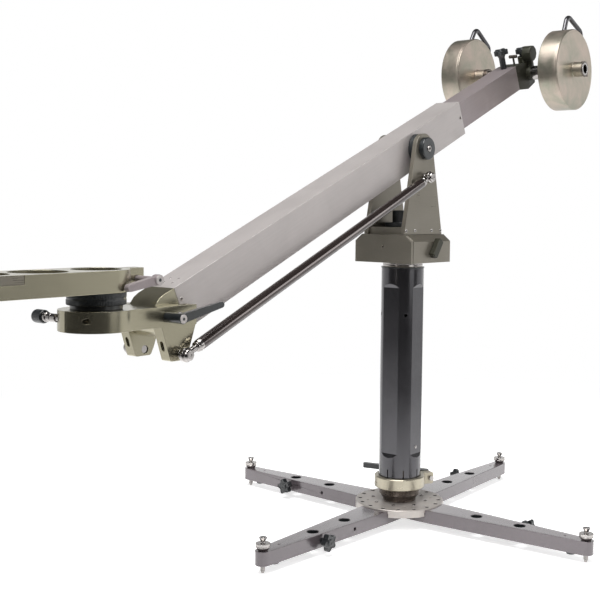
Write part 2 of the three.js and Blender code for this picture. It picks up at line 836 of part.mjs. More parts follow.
// Tie rod pin: root in its plate, spacer, journal and round head, outwards from the plate's face
function rodPin(face, rootLength) {
  const spacerEnd = rodOffset - eyeWidth / 2 - seatGap;
  const headStart = rodOffset + eyeWidth / 2 + seatGap;
  const headEnd = headStart + rodPinHeadHeight;
  return alongY([
    [0, face - rootLength], [rodPinRoot, face - rootLength], [rodPinRoot, face + seatGap],
    [rodPinSpacer, face + seatGap], [rodPinSpacer, spacerEnd], [rodPinRadius, spacerEnd],
    [rodPinRadius, headStart], [rodPinHead, headStart],
    [rodPinHead, headEnd - rodPinHeadHeight / 2], [rodPinHead - rodPinHeadHeight / 2, headEnd], [0, headEnd],
  ], pinFacets);
}
const rearPin = rodPin(cheekOuter, cheekThickness).translate([0, 0, rearPinLevel]);

// Friction disc and axle knob of one side
const boomHalf = boomWidth / 2;
const axleBore = boreCorner(axleRadius + runGap);
const stubBore = boreCorner(axleStubRadius + runGap);
const frictionDisc = alongY([
  [axleBore, boomHalf + seatGap], [discRadius, boomHalf + seatGap],
  [discRadius, cheekInner - seatGap], [axleBore, cheekInner - seatGap], [axleBore, boomHalf + seatGap],
]).translate([0, 0, axisHeight]);
const knobFoot = cheekOuter + seatGap;
const knobTop = knobFoot + axleKnobThickness;
const axleEnd = cheekOuter + axleShoulder;
const axleKnob = alongY([
  [axleBore, knobFoot], [axleKnobRadius, knobFoot], [axleKnobRadius, knobTop - axleKnobEdge],
  [axleKnobRadius - axleKnobEdge, knobTop], [stubBore, knobTop], [stubBore, axleEnd + seatGap],
  [axleBore, axleEnd + seatGap], [axleBore, knobFoot],
]).translate([0, 0, axisHeight]);
[['left', 0], ['right', 180]].forEach(([side, turn]) => {
  const half = new THREE.Group();
  half.rotation.z = degrees(turn);
  half.add(piece(`cheek_${side}`, cheekPlate, olive), piece(`rear_rod_pin_${side}`, rearPin, steel));
  half.add(piece(`friction_disc_${side}`, frictionDisc, blackPlastic));
  half.add(piece(`axle_knob_${side}`, axleKnob, blackPlastic));
  crane.add(half);
});
const stubEnd = knobTop + axleStubRise;
const axle = alongY([
  [0, -stubEnd], [axleStubRadius, -stubEnd], [axleStubRadius, -axleEnd], [axleRadius, -axleEnd],
  [axleRadius, axleEnd], [axleStubRadius, axleEnd], [axleStubRadius, stubEnd], [0, stubEnd],
], pinFacets);
const tiltAxle = piece('tilt_axle', axle, steel);
tiltAxle.position.z = axisHeight;
crane.add(tiltAxle);

// The boom group: X runs back along the boom from the tilt axle
const boom = new THREE.Group();
boom.position.z = axisHeight;
boom.rotation.y = -degrees(restTilt);
crane.add(boom);

// Outer tube: a hollow box section, thicker in the floor
const boomHalfHeight = boomHeight / 2;
const tubeFront = -boomReach + noseLap;
const cavityHalf = boomHalf - boomSideWall;
const cavityTop = boomHalfHeight - boomTopWall;
const cavityFloor = -boomHalfHeight + boomFloor;
const boomTube = cutBy(
  block([tubeFront, -boomHalf, -boomHalfHeight], [boomTail, boomHalf, boomHalfHeight]),
  block([tubeFront - overrun, -cavityHalf, cavityFloor], [boomTail + overrun, cavityHalf, cavityTop]),
  boreY(axleRadius + runGap, -boomHalf - overrun, boomHalf + overrun),
  boreY(keyHoleRadius, -boomHalf - overrun, 0, holeFacets)
    .translate([boomTail - keyHoleInset, 0, keyHoleRise]),
);
boom.add(piece('boom_tube', boomTube, boomPaint));

// Nose block: round over the head pivot, with a plug in the tube
const noseOutline = new THREE.Shape();
noseOutline.moveTo(tubeFront - seatGap, boomHalfHeight);
noseOutline.lineTo(-boomReach, boomHalfHeight);
noseOutline.absarc(-boomReach, 0, boomHalfHeight, Math.PI / 2, 3 * Math.PI / 2, false);
noseOutline.lineTo(tubeFront - seatGap, -boomHalfHeight);
noseOutline.closePath();
const boomNose = cutBy(
  joined(
    slab(noseOutline, -boomHalf, boomHalf),
    block(
      [tubeFront - overrun, -cavityHalf + nosePlugGap, cavityFloor + nosePlugGap],
      [tubeFront + nosePlug, cavityHalf - nosePlugGap, cavityTop - nosePlugGap],
    ),
  ),
  boreY(headPinRadius + runGap, -boomHalf - overrun, boomHalf + overrun, pinFacets)
    .translate([-boomReach, 0, 0]),
);
boom.add(piece('boom_nose', boomNose, champagne));

// Extension tube, open at both ends
const extensionHalf = cavityHalf - extensionGap;
const extensionTop = cavityTop - extensionGap;
const extensionFloor = cavityFloor + extensionGap;
const lockStemBore = lockStemRadius / 2 + seatGap;
const extensionTube = cutBy(
  block([extensionFront, -extensionHalf, extensionFloor], [extensionRear, extensionHalf, extensionTop]),
  block(
    [extensionFront - overrun, -extensionHalf + extensionWall, extensionFloor + extensionWall],
    [extensionRear + overrun, extensionHalf - extensionWall, extensionTop - extensionWall],
  ),
  bore(lockStemBore, extensionTop - extensionWall - overrun, extensionTop + overrun, holeFacets)
    .translate([extensionRear - lockKnobBack, 0, 0]),
);
boom.add(piece('extension_tube', extensionTube, tubePaint));

// Weight bracket: plug in the tube, bored block, tail boss and round keeper above the axle
const axleX = extensionRear + weightAxleBehind;
const bracketFront = extensionRear + seatGap;
const bracketRear = bracketFront + bracketTail;
const bracketOutline = roundedOutline([
  [bracketFront, extensionFloor], [bracketFront, extensionTop],
  [bracketFront + bracketNeck, extensionTop - weightAxleDrop], [bracketRear, extensionTop - bracketShoulder],
  [bracketRear, extensionFloor - bracketDrop + weightAxleDrop],
  [bracketFront + bracketNeck, extensionFloor - bracketDrop],
], bracketCorner);
const plugWall = extensionWall + bracketPlugGap;
const plug = block(
  [extensionRear - bracketPlug, -extensionHalf + plugWall, extensionFloor + plugWall],
  [bracketFront + 2 * overrun, extensionHalf - plugWall, extensionTop - plugWall],
);
const tailX = bracketRear + tailBossBehind;
const tailTop = extensionTop + tailBossRise - bracketShoulder;
const keeperFace = extensionHalf + collarWidth;
const keeperBack = -keeperSide + keeperWidth;
const keeper = joined(
  alongY([
    [0, -keeperSide], [keeperRadius - keeperEdge, -keeperSide], [keeperRadius, -keeperSide + keeperEdge],
    [keeperRadius, keeperBack], [0, keeperBack],
  ], pinFacets).translate([keeperBehind, 0, keeperRise]),
  block([0, -keeperFace, 0], [keeperStem, keeperBack - overrun, keeperRise]),
);
const bracket = cutBy(
  joined(
    slab(bracketOutline, -extensionHalf, extensionHalf),
    plug,
    post(tailBossRadius, -bracketDrop, tailTop, pinFacets).translate([tailX, 0, 0]),
    postY(collarRadius, -keeperFace, keeperFace, roundFacets).translate([axleX, 0, -weightAxleDrop]),
    keeper.translate([axleX, 0, -weightAxleDrop]),
  ),
  boreY(weightAxleRadius + seatGap, -keeperFace - overrun, keeperFace + overrun)
    .translate([axleX, 0, -weightAxleDrop]),
  bore(lockStemBore, extensionTop - plugWall - lockStemDepth, extensionTop + overrun, holeFacets)
    .translate([extensionRear - lockKnobBack, 0, 0]),
  bore(pinRadius + seatGap, extensionTop - pinDepth - bracketDrop, extensionTop + overrun, holeFacets)
    .translate([extensionRear + pinBehind, 0, 0]),
  bore(lockStemBore, tailTop - lockStemDepth - seatGap, tailTop + overrun, holeFacets)
    .translate([tailX, 0, 0]),
);
boom.add(piece('weight_bracket', bracket, darkOlive));

// Hollow weight axle with an end ring on each side and a stop collar inside the left disc
const axleRight = -weightReachRight - weightThickness - weightHubLength - seatGap;
const axleLeft = weightReachLeft + weightThickness + seatGap;
const stopOuter = weightReachLeft - weightHubLength - seatGap;
const weightAxle = alongY([
  [weightAxleBore, axleRight - axleEndRing], [axleEndRadius, axleRight - axleEndRing],
  [axleEndRadius, axleRight], [weightAxleRadius, axleRight],
  [weightAxleRadius, stopOuter - stopCollarWidth], [collarRadius, stopOuter - stopCollarWidth],
  [collarRadius, stopOuter], [weightAxleRadius, stopOuter],
  [weightAxleRadius, axleLeft], [axleEndRadius, axleLeft], [axleEndRadius, axleLeft + axleEndRing],
  [weightAxleBore, axleLeft + axleEndRing], [weightAxleBore, axleRight - axleEndRing],
], pinFacets);
const weightAxlePiece = piece('weight_axle', weightAxle, steel);
weightAxlePiece.position.set(axleX, 0, -weightAxleDrop);
boom.add(weightAxlePiece);

// Lock knobs and the T-handled pin on top of the rear arm
const tubeKnob = piece('bracket_lock_knob', starKnob(
  extensionTop + seatGap, lockStemHeight, lockStemRadius, extensionWall + lockStemDepth, lockStemRadius / 2,
), blackPlastic);
tubeKnob.position.x = extensionRear - lockKnobBack;
const tailKnob = piece('axle_lock_knob', starKnob(
  tailTop + seatGap, starNeck, starNeckRadius, lockStemDepth - seatGap, lockStemRadius / 2,
), blackPlastic);
tailKnob.position.x = tailX;
const pinTop = extensionTop + pinRise;
const weightPin = piece('weight_lock_pin', joined(
  post(pinRadius, extensionTop - pinDepth, pinTop, holeFacets),
  postY(pinBarRadius, -pinBarHalf, pinBarHalf, holeFacets).translate([0, 0, pinTop]),
), darkSteel);
weightPin.position.x = extensionRear + pinBehind;
boom.add(tubeKnob, tailKnob, weightPin);

// Disc weight with a hub towards the right, drawn from its left face
const weightBore = boreCorner(weightAxleRadius + runGap, broadFacets);
const discWeight = alongY([
  [weightBore, -weightThickness - weightHubLength], [weightHubRadius, -weightThickness - weightHubLength],
  [weightHubRadius, -weightThickness], [weightRadius - weightEdge, -weightThickness],
  [weightRadius, -weightThickness + weightEdge], [weightRadius, -weightEdge],
  [weightRadius - weightEdge, 0], [weightBore, 0], [weightBore, -weightThickness - weightHubLength],
], broadFacets);

// Handle: a bent rod whose feet stand on the rim
const gripPath = new THREE.CurvePath();
const footLevel = weightRadius * Math.SQRT1_2;
const gripCorner = gripReach - gripBend;
const gripSide = gripHalf - gripBend;
const gripPoints = [
  [-gripHalf, footLevel], [-gripHalf, gripCorner], [-gripHalf, gripReach], [-gripSide, gripReach],
  [gripSide, gripReach], [gripHalf, gripReach], [gripHalf, gripCorner], [gripHalf, footLevel],
].map(([x, z]) => new THREE.Vector3(x, 0, z));
gripPath.add(new THREE.LineCurve3(gripPoints[0], gripPoints[1]));
gripPath.add(new THREE.QuadraticBezierCurve3(gripPoints[1], gripPoints[2], gripPoints[3]));
gripPath.add(new THREE.LineCurve3(gripPoints[3], gripPoints[4]));
gripPath.add(new THREE.QuadraticBezierCurve3(gripPoints[4], gripPoints[5], gripPoints[6]));
gripPath.add(new THREE.LineCurve3(gripPoints[6], gripPoints[7]));
const gripSection = new THREE.Shape();
gripSection.absarc(0, 0, gripRadius, 0, 2 * Math.PI, false);
const bentRod = solid(new THREE.ExtrudeGeometry(gripSection, {
  extrudePath: gripPath, steps: gripSteps, curveSegments: holeFacets / 2, bevelEnabled: false,
}));
const weightHandle = cutBy(
  bentRod.translate([0, -weightThickness / 2, 0]),
  postY(weightRadius + seatGap, -weightThickness, 0, broadFacets),
);
[
  ['left', weightReachLeft + weightThickness, gripLeanLeft],
  ['right', -weightReachRight, gripLeanRight],
].forEach(([side, leftFace, lean]) => {
  const set = new THREE.Group();
  set.position.set(axleX, leftFace, -weightAxleDrop);
  set.rotation.y = degrees(restTilt + lean);
  set.add(piece(`disc_weight_${side}`, discWeight, zinc));
  set.add(piece(`weight_handle_${side}`, weightHandle, darkSteel));
  boom.add(set);
});

// Tie rods under the boom, parallel to it, from pin to pin
const rodGroup = new THREE.Group();
rodGroup.position.z = rearPinLevel;
rodGroup.rotation.y = -degrees(restTilt);
crane.add(rodGroup);
const rodBlank = turned([
  [0, eyeRadius / 2], [rodNeckRadius, eyeRadius / 2], [rodNeckRadius, rodEnd - rodTaper],
  [rodRadius, rodEnd], [rodRadius, boomReach - rodEnd], [rodNeckRadius, boomReach - rodEnd + rodTaper],
  [rodNeckRadius, boomReach - eyeRadius / 2], [0, boomReach - eyeRadius / 2],
], pinFacets).rotate([0, -90, 0]);
const eye = postY(eyeRadius, -eyeWidth / 2, eyeWidth / 2, pinFacets);
const eyeBore = boreY(rodPinRadius + runGap, -eyeWidth / 2 - overrun, eyeWidth / 2 + overrun, pinFacets);
const tieRod = cutBy(
  joined(rodBlank, eye, eye.translate([-boomReach, 0, 0])),
  eyeBore,
  eyeBore.translate([-boomReach, 0, 0]),
);
[['left', 1], ['right', -1]].forEach(([side, sign]) => {
  const rod = piece(`tie_rod_${side}`, tieRod, rodBlack);
  rod.position.y = sign * rodOffset;
  rodGroup.add(rod);
});

// The head group: its origin is the head pivot, and it stays level
const head = new THREE.Group();
head.position.set(
  -boomReach * Math.cos(degrees(restTilt)), 0, axisHeight - boomReach * Math.sin(degrees(restTilt)),
);
crane.add(head);

// Fork: split round clamp in front, two arms beside the nose, two ears for the rod pins
const forkFoot = -forkBelowPivot;
const forkTop = forkFoot + forkThickness;
const bulgeAngle = Math.asin(forkHalf / clampRadius);
const forkOutline = new THREE.Shape();
forkOutline.moveTo(forkRear, -forkHalf);
forkOutline.lineTo(forkRear, -forkSlotHalf);
forkOutline.lineTo(-forkThroat, -forkSlotHalf);
forkOutline.lineTo(-forkThroat, forkSlotHalf);
forkOutline.lineTo(forkRear, forkSlotHalf);
forkOutline.lineTo(forkRear, forkHalf);
forkOutline.absarc(-clampBefore, 0, clampRadius, bulgeAngle, 2 * Math.PI - bulgeAngle, false);
forkOutline.closePath();
const earOutline = roundedOutline([
  [-earFrontTop, forkFoot + overrun], [-earFrontLow, -rodDrop - earBottom],
  [earRearLow - earCorner, -rodDrop - earBottom], [earRearLow, -rodDrop + earCorner / 2],
  [earRearTop, forkFoot + overrun],
], earCorner / 2);
function obround(length, width) {
  const shape = new THREE.Shape();
  const straight = (length - width) / 2;
  shape.absarc(straight, 0, width / 2, -Math.PI / 2, Math.PI / 2, false);
  shape.absarc(-straight, 0, width / 2, Math.PI / 2, 3 * Math.PI / 2, false);
  shape.closePath();
  return shape;
}
const armMiddle = (forkHalf + forkSlotHalf) / 2;
const clampScrewX = -clampBefore - clampScrewBefore;
const clampScrewZ = (forkFoot + forkTop) / 2 + clampScrewRise;
const earPocketLevel = -rodDrop + earPocketRise + earPocketHeight / 2;
const forkCutters = [
  bore(clampBore, forkFoot - overrun, forkTop + overrun, broadFacets).translate([-clampBefore, 0, 0]),
  block(
    [-clampBefore - clampRadius - overrun, -clampSlit / 2, forkFoot - overrun],
    [-clampBefore, clampSlit / 2, forkTop + overrun],
  ),
  joined(
    boreY(clampScrewRadius + seatGap, -clampScrewNear - seatGap, clampRadius, pinFacets),
    boreY(clampDrillRadius, -clampRadius, -clampScrewNear, holeFacets),
    boreY(clampScrewShaft + runGap, clampSpotFace, clampRadius, pinFacets),
  ).translate([clampScrewX, 0, clampScrewZ]),
  boreY(headScrewRadius + runGap, -forkHalf - overrun, -forkSlotHalf + overrun, pinFacets)
    .translate([-headLeverBefore, 0, headLeverRise]),
  boreY(headPinRadius + runGap, -forkHalf - overrun, forkHalf + overrun, pinFacets),
  boreY(rodPinRoot + seatGap, -forkHalf - overrun, forkHalf + overrun, pinFacets)
    .translate([0, 0, -rodDrop]),
];
[-armMiddle, armMiddle].forEach((y) => {
  const armPocket = obround(forkPocketLength, forkPocketWidth);
  const earPocket = obround(earPocketHeight, earPocketWidth);
  forkCutters.push(
    plate(armPocket, forkTop - forkPocketDepth, forkTop + overrun).translate([forkPocketInset, y, 0]),
    plate(earPocket, -earFrontTop - overrun, -earFrontLow - earPocketDepth + overrun)
      .rotate([0, 90, 0]).translate([0, y, earPocketLevel]),
  );
});
const fork = cutBy(
  joined(
    plate(forkOutline, forkFoot, forkTop, pinFacets),
    slab(earOutline, -forkHalf, -forkSlotHalf),
    slab(earOutline, forkSlotHalf, forkHalf),
  ),
  ...forkCutters,
);
head.add(piece('head_fork', fork, champagne));
const frontPin = rodPin(forkHalf, rodPinRootLength).translate([0, 0, -rodDrop]);
[['left', 0], ['right', 180]].forEach(([side, turn]) => {
  const pin = piece(`front_rod_pin_${side}`, frontPin, steel);
  pin.rotation.z = degrees(turn);
  head.add(pin);
});

// Clamp screw of the fork with its knob
const clampKnobEnd = clampKnobStart + clampKnobLength;
const clampKnob = alongY([
  [0, -clampScrewNear], [clampScrewRadius, -clampScrewNear],
  [clampScrewRadius, clampSpotFace + seatGap], [clampScrewShaft, clampSpotFace + seatGap],
  [clampScrewShaft, clampCollarStart], [clampCollarRadius, clampCollarStart],
  [clampCollarRadius, clampKnobStart], [clampKnobRadius - clampKnobEdge, clampKnobStart],
  [clampKnobRadius, clampKnobStart + clampKnobEdge], [clampKnobRadius, clampKnobEnd - clampKnobEdge],
  [clampKnobRadius - clampKnobEdge, clampKnobEnd], [0, clampKnobEnd],
], pinFacets).translate([clampScrewX, 0, clampScrewZ]);
head.add(piece('fork_clamp_knob', clampKnob, blackPlastic));

// Head pivot pin through fork and nose
const forkFace = forkHalf + seatGap;
head.add(piece('head_pivot_pin', alongY([
  [0, -forkHalf], [headPinRadius, -forkHalf], [headPinRadius, forkFace], [headPinHead, forkFace],
  [headPinHead, forkFace + headPinHeadHeight / 2],
  [headPinHead - headPinHeadHeight / 2, forkFace + headPinHeadHeight], [0, forkFace + headPinHeadHeight],
], pinFacets), steel));

// Head lock lever: its screw goes through the right arm to the nose's side
const hubEnd = -forkFace - headHubLength;
const headArmNear = hubEnd + headArmInset;
head.add(piece('head_lock_lever', joined(
  postY(headScrewRadius, -forkFace - overrun, -forkSlotHalf - seatGap, pinFacets),
  postY(headHubRadius, hubEnd, -forkFace, pinFacets),
  slab(
    leverOutline(headArmRoot, headArmTip, headArmLength, headArmRise),
    headArmNear, headArmNear + headArmWidth, 6,
  ),
).translate([-headLeverBefore, 0, headLeverRise]), blackPlastic));

// Platform group: its origin is the pan axis at the fork's top
const platform = new THREE.Group();
platform.position.set(-clampBefore, 0, forkTop);
head.add(platform);

// Grip ring: spigot in the fork's clamp, knurled ring and the tie nut in the platform's well
const ringLow = seatGap + clampScrewShaft;
const ringHigh = ringLow + gripRingHeight;
const nutLift = ringHigh + tieNutRise;
platform.add(piece('pan_grip_ring', turned([
  [0, -spigotBelow], [clampBore - seatGap, -spigotBelow], [clampBore - seatGap, seatGap],
  [gripNeckRadius, seatGap], [gripNeckRadius, ringLow], [gripRingRadius - gripRingEdge, ringLow],
  [gripRingRadius, ringLow + gripRingEdge], [gripRingRadius, ringHigh - gripRingEdge],
  [gripRingRadius - gripRingEdge, ringHigh], [tieNutRadius, ringHigh], [tieNutRadius, nutLift],
  [0, nutLift],
], roundFacets), blackPlastic));

// Camera platform: long plate with a round rear end, a well, two cut-outs and a split rear lug
const platformFoot = ringHigh + seatGap;
const platformTop = platformFoot + platformThickness;
const platformOutline = new THREE.Shape();
platformOutline.absarc(0, 0, platformHalf, -Math.PI / 2, Math.PI / 2, false);
platformOutline.lineTo(-platformFront + platformCorner, platformHalf);
platformOutline.absarc(
  -platformFront + platformCorner, platformHalf - platformCorner, platformCorner,
  Math.PI / 2, Math.PI, false,
);
platformOutline.absarc(
  -platformFront + platformCorner, -platformHalf + platformCorner, platformCorner,
  Math.PI, 3 * Math.PI / 2, false,
);
platformOutline.closePath();
const lugScrewZ = platformFoot + lugScrewLevel;
const platformBody = cutBy(
  joined(
    plate(platformOutline, platformFoot, platformTop, roundFacets / 2),
    block(
      [platformHalf - 2 * overrun, -lugHalf, platformTop - lugHeight],
      [rearLugReach, lugHalf, platformTop],
    ),
  ),
  bore(wellRadius, platformFoot + wellFloor, platformTop + overrun, broadFacets),
  bore(tieNutRadius + runGap, platformFoot - overrun, platformTop),
  bore(middleCutRadius, platformFoot - overrun, platformTop + overrun, broadFacets)
    .translate([-middleCutBefore, 0, 0]),
  bore(frontCutRadius, platformFoot - overrun, platformTop + overrun, broadFacets)
    .translate([-frontCutBefore, 0, 0]),
  block(
    [-railEnd, -platformHalf - overrun, platformTop - railBelowTop - railHeight],
    [-railStart, -platformHalf + railDepth, platformTop - railBelowTop],
  ),
  block(
    [tieNutRadius, -lugSlit / 2, platformFoot - overrun],
    [rearLugReach + overrun, lugSlit / 2, platformTop + overrun],
  ),
  boreY(lugScrewRadius + runGap, -lugHalf - overrun, lugHalf + overrun, pinFacets)
    .translate([lugScrewReach, 0, lugScrewZ]),
);
platform.add(piece('camera_platform', platformBody, champagne));

// Platform clamp lever: screw through the lug, hub and arm beside the platform
const armNear = -platformHalf - platformArmGap;
const armFar = armNear - platformHubLength;
const platformLever = joined(
  postY(lugScrewRadius, armNear, lugHalf, pinFacets),
  postY(platformHubRadius, armFar, armNear, pinFacets),
  slab(
    leverOutline(platformArmRoot, platformArmTip, platformArmLength, 180 + platformArmFall),
    armFar + platformArmGap, armNear, 6,
  ),
).translate([lugScrewReach, 0, lugScrewZ]);
platform.add(piece('platform_clamp_lever', platformLever, blackPlastic));

export default crane;
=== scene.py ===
# %% [markdown]
# # A camera jib crane, finished piece by piece
#
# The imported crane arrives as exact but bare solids. This lesson gives every piece its real
# finish, and remakes the round ones on a virtual lathe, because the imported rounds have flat
# facets. Everything is in metres in the file, but the pieces are drawn in millimetres, the way
# a workshop drawing has them, and scaled when they are put in place.

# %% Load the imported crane
import json
import math

import bmesh
import bpy
from mathutils import Matrix, Vector


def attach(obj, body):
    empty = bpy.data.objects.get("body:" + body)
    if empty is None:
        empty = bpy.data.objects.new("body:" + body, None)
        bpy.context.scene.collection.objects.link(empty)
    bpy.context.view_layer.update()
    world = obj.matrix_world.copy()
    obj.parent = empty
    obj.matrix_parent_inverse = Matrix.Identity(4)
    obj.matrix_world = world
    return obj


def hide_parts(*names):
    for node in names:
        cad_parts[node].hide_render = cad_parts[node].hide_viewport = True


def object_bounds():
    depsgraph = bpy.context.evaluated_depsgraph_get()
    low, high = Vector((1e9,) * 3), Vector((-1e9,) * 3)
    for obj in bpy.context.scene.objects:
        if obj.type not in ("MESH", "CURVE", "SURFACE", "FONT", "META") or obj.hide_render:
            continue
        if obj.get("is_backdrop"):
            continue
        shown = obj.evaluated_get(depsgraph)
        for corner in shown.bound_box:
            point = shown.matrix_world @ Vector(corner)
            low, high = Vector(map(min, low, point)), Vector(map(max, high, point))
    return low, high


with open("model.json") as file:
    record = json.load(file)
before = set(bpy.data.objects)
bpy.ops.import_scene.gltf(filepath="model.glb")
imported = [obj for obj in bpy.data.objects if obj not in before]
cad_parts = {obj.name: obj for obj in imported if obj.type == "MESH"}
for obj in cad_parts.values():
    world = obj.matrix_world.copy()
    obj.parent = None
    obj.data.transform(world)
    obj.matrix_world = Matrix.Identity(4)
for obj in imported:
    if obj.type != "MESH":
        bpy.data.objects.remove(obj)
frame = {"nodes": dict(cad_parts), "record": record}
cad_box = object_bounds()
scene = bpy.context.scene

# %% [markdown]
# ## The crane's own coordinates
#
# The boom, the tie rods and the head each have their own directions. A piece that sits on the
# boom is easiest to draw along X with the boom lying flat, and then to tilt with it. Each
# "place" below is such a drawing board: it moves, tilts and scales a drawing in one step.
# Seen from the platform towards the weights, left is +Y and right is -Y.

# %% Drawing boards
MILLIMETRE = 0.001
FULL_TURN = 2 * math.pi
TILT_AXLE_HEIGHT = 933.4
BOOM_FALL = math.radians(23.57)
BOOM_REACH = 917.0
ROD_DROP = 72.7
CLAMP_BEFORE = 150.6
FORK_TOP = 21.0


def board(x=0.0, y=0.0, z=0.0, tilt=0.0):
    """A drawing board in millimetres, moved to x, y, z and tilted about the Y axis."""
    moved = Matrix.Translation(Vector((x, y, z)) * MILLIMETRE)
    return moved @ Matrix.Rotation(tilt, 4, "Y") @ Matrix.Scale(MILLIMETRE, 4)


def on(place, x=0.0, y=0.0, z=0.0):
    """The same board, shifted along its own directions."""
    return place @ Matrix.Translation((x, y, z))


def around(share, x, y=0.0, z=0.0):
    """A board on the floor, carried round the column by a share of a full turn."""
    return Matrix.Rotation(share * FULL_TURN, 4, "Z") @ board(x, y, z)


TO_LEFT = Matrix.Rotation(-math.pi / 2, 4, "X")
TO_RIGHT = Matrix.Rotation(math.pi / 2, 4, "X")
LEGS = ("rear", "left", "front", "right")
HANDS = (("left", 1), ("right", -1))
FLOOR = board()
BOOM = board(z=TILT_AXLE_HEIGHT, tilt=-BOOM_FALL)
RODS = board(z=TILT_AXLE_HEIGHT - ROD_DROP, tilt=-BOOM_FALL)
HEAD = board(
    x=-BOOM_REACH * math.cos(BOOM_FALL),
    z=TILT_AXLE_HEIGHT - BOOM_REACH * math.sin(BOOM_FALL),
)
PLATFORM = on(HEAD, x=-CLAMP_BEFORE, z=FORK_TOP)
print("head pivot at", [round(v, 3) for v in HEAD.translation])

# %% [markdown]
# ## The camera
#
# The photograph was taken from the platform's side, a little above the boom's nose. The
# camera's place, lens and shift were found by matching corners whose sizes are known. The
# three columns of its matrix are its right, up and backward directions.

# %% Camera at the photograph's viewpoint
PICTURE_SIDE = 600
SENSOR_WIDTH = 36.0
FOCAL_PIXELS = 1047.16
OPTICAL_CENTRE = (355.78, 270.85)
CAMERA_PLACE = Vector((-2.2347, -1.5455, 0.7773))
LOOK_ALONG = Vector((0.796, 0.605, 0.0)).normalized()
PITCH_DOWN = math.radians(3.37)
ROLL = math.radians(0.74)

level_right = Vector((LOOK_ALONG.y, -LOOK_ALONG.x, 0.0))
forward = LOOK_ALONG * math.cos(PITCH_DOWN) - Vector((0, 0, 1)) * math.sin(PITCH_DOWN)
level_up = Vector((0, 0, 1)) * math.cos(PITCH_DOWN) + LOOK_ALONG * math.sin(PITCH_DOWN)
right = level_right * math.cos(ROLL) + level_up * math.sin(ROLL)
up = level_up * math.cos(ROLL) - level_right * math.sin(ROLL)

lens = bpy.data.cameras.new("viewpoint")
lens.sensor_width = SENSOR_WIDTH
lens.lens = FOCAL_PIXELS / PICTURE_SIDE * SENSOR_WIDTH
lens.shift_x = (PICTURE_SIDE / 2 - OPTICAL_CENTRE[0]) / PICTURE_SIDE
lens.shift_y = (OPTICAL_CENTRE[1] - PICTURE_SIDE / 2) / PICTURE_SIDE
lens.clip_end = 100.0
viewpoint = bpy.data.objects.new("viewpoint", lens)
turned_to = Matrix((right, up, -forward)).transposed().to_4x4()
viewpoint.matrix_world = Matrix.Translation(CAMERA_PLACE) @ turned_to
scene.collection.objects.link(viewpoint)
scene.camera = viewpoint
print("lens:", round(lens.lens, 2), "mm, shift:", round(lens.shift_x, 3), round(lens.shift_y, 3))

# %% [markdown]
# ## Colours written as a painter reads them
#
# Shaders work with linear light, but a colour picked from a swatch is a display colour. One
# small helper turns the six-figure display colour into the linear one.


# %% Display colours to linear light
def colour(swatch):
    """A colour such as 9a9293, as red, green, blue and alpha in linear light."""
    shares = [int(swatch[i : i + 2], 16) / 255 for i in (0, 2, 4)]
    linear = [s / 12.92 if s <= 0.04045 else ((s + 0.055) / 1.055) ** 2.4 for s in shares]
    return (*linear, 1.0)


WHITE = colour("ffffff")
print("white is", WHITE)

# %% [markdown]
# ## Effects that many finishes share
#
# Metal that is handled has three things in common: a fine grain left by brushing or turning,
# slow cloudy differences where it was wiped and touched, and edges that are polished bright.
# Each is a node group, built once and used with other values in each finish. A group only puts
# out values and normals, so the shader itself stays in the material.


# %% Node group helpers
def new_group(name, inputs, outputs):
    """An empty shader node group with named sockets, and its inner input and output nodes."""
    group = bpy.data.node_groups.new(name, "ShaderNodeTree")
    for label, kind, value in inputs:
        socket = group.interface.new_socket(name=label, in_out="INPUT", socket_type=kind)
        if value is not None:
            socket.default_value = value
    for label, kind in outputs:
        group.interface.new_socket(name=label, in_out="OUTPUT", socket_type=kind)
    return group, group.nodes.new("NodeGroupInput"), group.nodes.new("NodeGroupOutput")


def fill(tree, socket, value):
    """Give a socket a value, or link another node's output to it."""
    if isinstance(value, bpy.types.NodeSocket):
        tree.links.new(value, socket)
    else:
        socket.default_value = value


def add_node(tree, kind, settings=None, **sockets):
    """A node with its settings and filled sockets. A label such as _1 is a socket's number."""
    node = tree.nodes.new(kind)
    for key, value in (settings or {}).items():
        setattr(node, key, value)
    for label, value in sockets.items():
        found = [s for s in node.inputs if s.name.replace(" ", "_") == label and s.enabled]
        fill(tree, found[0] if found else node.inputs[int(label[1:])], value)
    return node


def math_node(tree, operation, *values, clamp=False):
    """A calculation with up to three values or sockets."""
    node = add_node(tree, "ShaderNodeMath", {"operation": operation, "use_clamp": clamp})
    for socket, value in zip(node.inputs, values):
        fill(tree, socket, value)
    return node.outputs[0]


def mixed_colours(tree, factor, first, second, blend="MIX"):
    """A mix of two colours, each written as a colour or taken from a socket."""
    node = add_node(tree, "ShaderNodeMix", {"data_type": "RGBA", "blend_type": blend})
    for number, value in ((0, factor), (6, first), (7, second)):
        fill(tree, node.inputs[number], value)
    return node.outputs[2]


print("node helpers ready")

# %% Fine grain: long scratches or even speckle, by how far the pattern is stretched
grain_group, grain_in, grain_out = new_group(
    "fine grain",
    [("Vector", "NodeSocketVector", None), ("Stretch", "NodeSocketVector", (900, 900, 900))],
    [("Height", "NodeSocketFloat"), ("Shade", "NodeSocketFloat")],
)
stretched = add_node(
    grain_group, "ShaderNodeVectorMath", {"operation": "MULTIPLY"},
    _0=grain_in.outputs["Vector"], _1=grain_in.outputs["Stretch"],
)
fine = add_node(
    grain_group, "ShaderNodeTexNoise", Vector=stretched.outputs[0], Scale=1.0, Detail=2.0,
    Roughness=0.6,
)
coarse = add_node(
    grain_group, "ShaderNodeTexNoise", Vector=stretched.outputs[0], Scale=0.23, Detail=1.0,
    Roughness=0.5,
)
height = math_node(grain_group, "MULTIPLY_ADD", coarse.outputs[0], 0.5, fine.outputs[0])
grain_group.links.new(height, grain_out.inputs["Height"])
grain_group.links.new(coarse.outputs[0], grain_out.inputs["Shade"])
